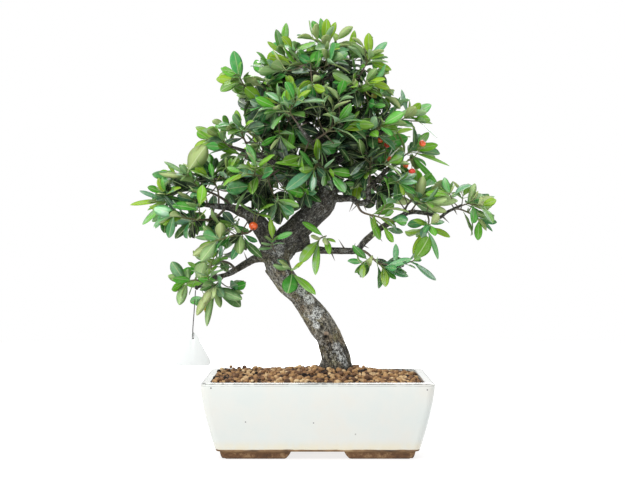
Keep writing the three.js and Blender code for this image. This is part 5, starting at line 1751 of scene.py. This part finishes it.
def amount(name, default, description, subtype="NONE"):
    return bpy.props.FloatProperty(
        name=name, description=description, default=default, subtype=subtype)


def tint(name, default, description):
    return bpy.props.FloatVectorProperty(
        name=name, description=description, default=default, size=3, min=0, max=1,
        subtype="COLOR")


class PotSettings(bpy.types.PropertyGroup):
    length: metres("Length", POT_HIGH.x - POT_LOW.x, "Length of the rim")
    depth: metres("Depth", POT_HIGH.y - POT_LOW.y, "Depth of the rim")
    height: metres("Height", POT_HIGH.z, "Height of the rim")
    taper: metres("Taper", 0.0166, "How far each side draws in at the bottom")
    taper_power: amount("Taper Curve", 1.45, "1 is a straight side, more is a fuller one")
    corner: metres("Corner Radius", 0.0082, "Radius of the four corners")
    lip_width: metres("Lip Width", 0.011, "Width of the rim's top")
    wall_thinning: metres("Wall Thinning", 0.003, "How much thinner the wall is below")
    floor_bottom: metres("Floor Height", 0.0085, "Height of the underside")
    floor_top: metres("Floor Top", 0.017, "Height of the floor inside")
    foot_long: metres("Long Foot", 0.078, "Length of the foot bar under the long side")
    foot_short: metres("Short Foot", 0.05, "Length of the foot bar under the short side")
    foot_width: metres("Foot Width", 0.015, "Width of a foot bar")
    foot_inset: metres("Foot Inset", 0.004, "How far the feet stand in from the side")
    foot_slant: metres("Foot Slant", 0.006, "How far the foot ends draw in below")
    drain_radius: metres("Drain Radius", 0.012, "Radius of a drain hole")
    drain_spacing: metres("Drain Spacing", 0.11, "Distance between the drain holes")
    glaze_colour: tint("Glaze", (0.69, 0.706, 0.673), "Main colour of the glaze")
    glaze_shade: tint("Glaze Shade", (0.663, 0.7, 0.677), "Green-blue clouds in it")
    glaze_warm: tint("Glaze Warm", (0.706, 0.697, 0.648), "Warmer clouds in it")
    glaze_thin: tint("Thin Glaze", (0.78, 0.66, 0.4), "Ochre where it is thin")
    # Height of the line of painted shade under the lip
    lip_shade_line: metres("Lip Line", 0.0837, "Height of the thin line round the lip")
    speckle: tint("Speckle", (0.12, 0.09, 0.07), "Small dark specks in the glaze")
    # Colour of the painted shade line under the lip, and of the pits in the glaze
    lip_shade_and_pit_colour: tint("Line", (0.05, 0.045, 0.05), "Thin grey line where glaze meets")
    # Clay is also painted as the highlight on the upper part of the feet
    clay_colour: tint("Clay", (0.24, 0.135, 0.06), "Unglazed clay")
    clay_light: tint("Light Clay", (0.37, 0.24, 0.12), "Lighter clay")
    # Dark Clay is also painted as the shade at the bottom edge of the feet
    clay_dark: tint("Dark Clay", (0.07, 0.035, 0.016), "Burnt clay")
    foot_colour: tint("Feet", (0.15, 0.07, 0.028), "Clay of the feet")
    screen_colour: tint("Screen", (0.02, 0.022, 0.021), "Plastic of the drain screens")
    screen_dust: tint("Screen Dust", (0.2, 0.14, 0.09), "Clay dust on the screens")


class SoilSettings(bpy.types.PropertyGroup):
    edge_height: amount("Edge Height", 78.0, "Height of the soil at the rim, in mm")
    mound: amount("Mound", 12.0, "How much higher it lies at the trunk, in mm")
    mound_reach: amount("Mound Reach", 62.0, "How wide the mound is, in mm")
    right_fall: amount("Fall", 0.02, "Fall to the right, in mm for each mm")
    grain_spacing: amount("Spacing", 5.6, "Distance between granules, in mm")
    grain_small: amount("Smallest", 4.2, "Smallest granule, in mm")
    grain_large: amount("Largest", 8.4, "Largest granule, in mm")
    second_layer: amount("Upper Layer", 0.24, "Share of places with a second granule", "FACTOR")
    # Ground is also the painted shade seen between the granules
    ground: tint("Ground", (0.03, 0.016, 0.01), "Deep soil")
    ground_dark: tint("Dark Ground", (0.01, 0.006, 0.004), "Darkest soil")
    grain_dark: tint("Dark Grain", (0.09, 0.047, 0.028), "Darkest granules")
    grain_brown: tint("Brown Grain", (0.3, 0.16, 0.075), "Usual granules")
    grain_ochre: tint("Ochre Grain", (0.5, 0.3, 0.13), "Lighter granules")
    grain_pale: tint("Pale Grain", (0.74, 0.55, 0.32), "Palest granules")


class TreeSettings(bpy.types.PropertyGroup):
    mesh_size: metres("Mesh Size", 0.00094, "Size of the faces that the bark is made of")
    bark_colour: tint("Bark", (0.23, 0.213, 0.17), "Usual bark")
    bark_shade: tint("Bark Shade", (0.045, 0.044, 0.041), "Darker bark, thin branches")
    bark_dark: tint("Dark Bark", (0.011, 0.01, 0.009), "Cracks in the bark")
    bark_warm: tint("Warm Bark", (0.26, 0.19, 0.11), "Browner bark")
    bark_light: tint("Light Bark", (0.43, 0.4, 0.335), "Worn ridges")
    bark_olive: tint("Olive Bark", (0.28, 0.26, 0.12), "Bark with algae")
    lichen_colour: tint("Lichen", (0.74, 0.77, 0.76), "Pale lichen")
    # Painted shade inside scars and knot holes
    hole_colour: tint("Hole", (0.008, 0.006, 0.005), "Inside of scars and knot holes")
    callus: tint("Callus", (0.42, 0.3, 0.21), "Healed bark above the knot hole")
    twig_colour: tint("Twig", (0.11, 0.075, 0.048), "Bark of young shoots")
    twig_green: tint("Shoot Tip", (0.2, 0.24, 0.07), "Green end of a shoot")


class LeafSettings(bpy.types.PropertyGroup):
    leaf_spacing: metres("Spacing", 0.0038, "Least distance between two leaf middles")
    leaf_length: amount("Length", 0.93, "Length as a share of the usual one", "FACTOR")
    leaf_width: amount("Width", 0.43, "Usual width as a share of the length", "FACTOR")
    twig_spacing: metres("Twig Spacing", 0.023, "Distance between the inner twigs")
    twig_leaves: bpy.props.IntProperty(name="Twig Leaves", default=8, description="On each twig")
    # The leaf colours follow each leaf's tone: painted shade deep in the crown, painted light in the
    # open, and some random tone
    deep_shade_leaf: tint("Deep Leaf", (0.002, 0.009, 0.003), "Leaves inside the crown")
    shaded_leaf: tint("Old Leaf", (0.015, 0.07, 0.017), "Dark outer leaves")
    leaf_colour: tint("Leaf", (0.052, 0.21, 0.036), "Usual leaves")
    mid_leaf: tint("Fresh Leaf", (0.125, 0.365, 0.055), "Lighter leaves")
    lit_young_leaf: tint("Young Leaf", (0.22, 0.475, 0.07), "Youngest leaves")
    yellow_leaf: tint("Yellow Leaf", (0.78, 0.68, 0.05), "The few dying leaves")
    # Painted sheen on glossy leaves, standing in for reflected light
    painted_sheen_colour: tint("Sheen", (0.38, 0.52, 0.42), "Waxy patches of glossy leaves")
    rib_colour: tint("Midrib", (0.38, 0.5, 0.24), "Midrib of the upper side")
    vein_colour: tint("Vein", (0.16, 0.33, 0.11), "Side veins")
    # The undersides too are painted darker deep in the crown
    under_dark: tint("Under Dark", (0.075, 0.16, 0.04), "Underside of old leaves")
    under_colour: tint("Underside", (0.25, 0.38, 0.15), "Usual underside")
    under_pale: tint("Under Pale", (0.44, 0.57, 0.29), "Underside of young leaves")
    under_rib: tint("Under Rib", (0.5, 0.6, 0.32), "Midrib of the underside")
    spot_colour: tint("Spots", (0.16, 0.08, 0.03), "Small brown spots")


class BerrySettings(bpy.types.PropertyGroup):
    orange: tint("Orange", (0.95, 0.17, 0.035), "Less ripe berries")
    red: tint("Red", (0.85, 0.045, 0.025), "Ripe berries")
    dark: tint("Dark", (0.4, 0.014, 0.012), "Darker flecks")
    pale: tint("Pale", (0.95, 0.42, 0.12), "Pale pores")
    sepal: tint("Sepal", (0.02, 0.012, 0.008), "Dry sepals in the eye")
    sepal_light: tint("Light Sepal", (0.09, 0.05, 0.03), "Paler flecks on them")


class TagSettings(bpy.types.PropertyGroup):
    card_thickness: metres("Thickness", 0.0006, "Thickness of the tag")
    card_colour: tint("Card", (0.8, 0.83, 0.83), "Colour of the tag")
    card_shade: tint("Card Shade", (0.77, 0.81, 0.815), "Slightly darker card")
    thread_colour: tint("Thread", (0.09, 0.08, 0.075), "Colour of the thread")
    thread_dark: tint("Thread Shade", (0.02, 0.018, 0.017), "Between its strands")


class StageSettings(bpy.types.PropertyGroup):
    lens: amount("Lens", 83.52, "Focal length on a 36 mm wide sensor, in mm")
    camera_x: amount("Camera X", CAMERA[0], "Camera place, in mm from the pot's centre")
    camera_y: amount("Camera Y", CAMERA[1], "Camera place, in mm from the pot's centre")
    camera_z: amount("Camera Height", CAMERA[2], "Camera height, in mm")
    key_power: amount("Key Light", 56.0, "Power of the light on the left", "POWER")
    fill_power: amount("Fill Light", 5.0, "Power of the light on the right", "POWER")
    back_power: amount("Back Light", 26.0, "Power of the light behind", "POWER")
    top_light: amount("Top Light", 0.9, "Strength of the even light from above")
    side_light: amount("Side Light", 0.15, "Strength of the even light from the sides")
    back_wall: amount("Back Wall", 0.9, "Strength of the even light from behind")
    floor_reach: metres("Floor Reach", 1.8, "Radius of the floor")
    floor_fade: metres("Floor Fade", 0.3, "Where the floor starts to run out into white")
    glow_below: amount("Glow Below", 0.77, "Own light of the floor below the pot")
    floor_glow: amount("Floor Glow", 0.7, "Own light of the floor round the pot")
    floor_colour: tint("Floor", (0.28, 0.28, 0.28), "Colour of the floor")
    floor_shade: tint("Floor Shade", (0.27, 0.27, 0.275), "Faint clouds in it")


class BONSAI_OT_stage(bpy.types.Operator):
    """Set up the camera, the pale floor and the soft lights"""
    bl_idname = "bonsai.stage"
    bl_label = "Camera, Floor and Lights"

    def execute(self, context):
        build_stage(context.scene.bonsai_stage)
        return {"FINISHED"}


class BONSAI_OT_tag(bpy.types.Operator):
    """Build the blank tag and the thread that it hangs by"""
    bl_idname = "bonsai.tag"
    bl_label = "Tag and Thread"

    def execute(self, context):
        build_tag(context.scene.bonsai_tag)
        return {"FINISHED"}


class BONSAI_OT_pot(bpy.types.Operator):
    """Build the glazed pot on its four corner feet"""
    bl_idname = "bonsai.pot"
    bl_label = "Pot"

    def execute(self, context):
        build_pot(context.scene.bonsai_pot)
        return {"FINISHED"}


class BONSAI_OT_screens(bpy.types.Operator):
    """Give the drain screens their plastic"""
    bl_idname = "bonsai.screens"
    bl_label = "Drain Screens"

    def execute(self, context):
        finish_screens(context.scene.bonsai_pot)
        return {"FINISHED"}


class BONSAI_OT_soil(bpy.types.Operator):
    """Fill the pot with soil and cover it with granules"""
    bl_idname = "bonsai.soil"
    bl_label = "Soil"

    def execute(self, context):
        build_soil(context.scene.bonsai_pot, context.scene.bonsai_soil)
        return {"FINISHED"}


class BONSAI_OT_wood(bpy.types.Operator):
    """Grow the trunk and branches with their bark"""
    bl_idname = "bonsai.wood"
    bl_label = "Trunk and Branches"

    def execute(self, context):
        build_wood(context.scene.bonsai_tree)
        return {"FINISHED"}


class BONSAI_OT_leaves(bpy.types.Operator):
    """Grow the young shoots with their leaves"""
    bl_idname = "bonsai.leaves"
    bl_label = "Leafy Shoots"

    def execute(self, context):
        build_leaves(context.scene.bonsai_tree, context.scene.bonsai_leaves)
        return {"FINISHED"}


class BONSAI_OT_thorns(bpy.types.Operator):
    """Set thorns on the thin branches"""
    bl_idname = "bonsai.thorns"
    bl_label = "Thorns"

    def execute(self, context):
        build_thorns(context.scene.bonsai_tree)
        return {"FINISHED"}


class BONSAI_OT_berries(bpy.types.Operator):
    """Hang the berries on their stalks"""
    bl_idname = "bonsai.berries"
    bl_label = "Berries"

    def execute(self, context):
        build_berries(context.scene.bonsai_tree, context.scene.bonsai_berries)
        return {"FINISHED"}


GROUPS = {
    "bonsai_stage": StageSettings, "bonsai_tag": TagSettings, "bonsai_pot": PotSettings,
    "bonsai_soil": SoilSettings, "bonsai_tree": TreeSettings, "bonsai_leaves": LeafSettings,
    "bonsai_berries": BerrySettings,
}
OPERATORS = [
    BONSAI_OT_stage, BONSAI_OT_tag, BONSAI_OT_pot, BONSAI_OT_screens, BONSAI_OT_soil,
    BONSAI_OT_wood, BONSAI_OT_leaves, BONSAI_OT_thorns, BONSAI_OT_berries,
]


class BONSAI_PT_panel(bpy.types.Panel):
    """Lists the steps that build the bonsai, with their sizes and colours"""
    bl_idname = "BONSAI_PT_panel"
    bl_label = "Firethorn Bonsai"
    bl_space_type = "VIEW_3D"
    bl_region_type = "UI"
    bl_category = "Bonsai"

    def draw(self, context):
        for operator in OPERATORS:
            self.layout.operator(operator.bl_idname)
        for name, group in GROUPS.items():
            box = self.layout.box()
            for setting in group.__annotations__:
                box.prop(getattr(context.scene, name), setting)


def register():
    for group in GROUPS.values():
        bpy.utils.register_class(group)
    for name, group in GROUPS.items():
        setattr(bpy.types.Scene, name, bpy.props.PointerProperty(type=group))
    for operator in OPERATORS:
        bpy.utils.register_class(operator)
    bpy.utils.register_class(BONSAI_PT_panel)


def unregister():
    bpy.utils.unregister_class(BONSAI_PT_panel)
    for operator in reversed(OPERATORS):
        bpy.utils.unregister_class(operator)
    for name in GROUPS:
        delattr(bpy.types.Scene, name)
    for group in GROUPS.values():
        bpy.utils.unregister_class(group)


def main():
    register()
    bpy.ops.bonsai.stage()
    bpy.ops.bonsai.tag()
    bpy.ops.bonsai.pot()
    bpy.ops.bonsai.screens()
    bpy.ops.bonsai.soil()
    bpy.ops.bonsai.wood()
    bpy.ops.bonsai.leaves()
    bpy.ops.bonsai.thorns()
    bpy.ops.bonsai.berries()


if __name__ == "__main__":
    main()
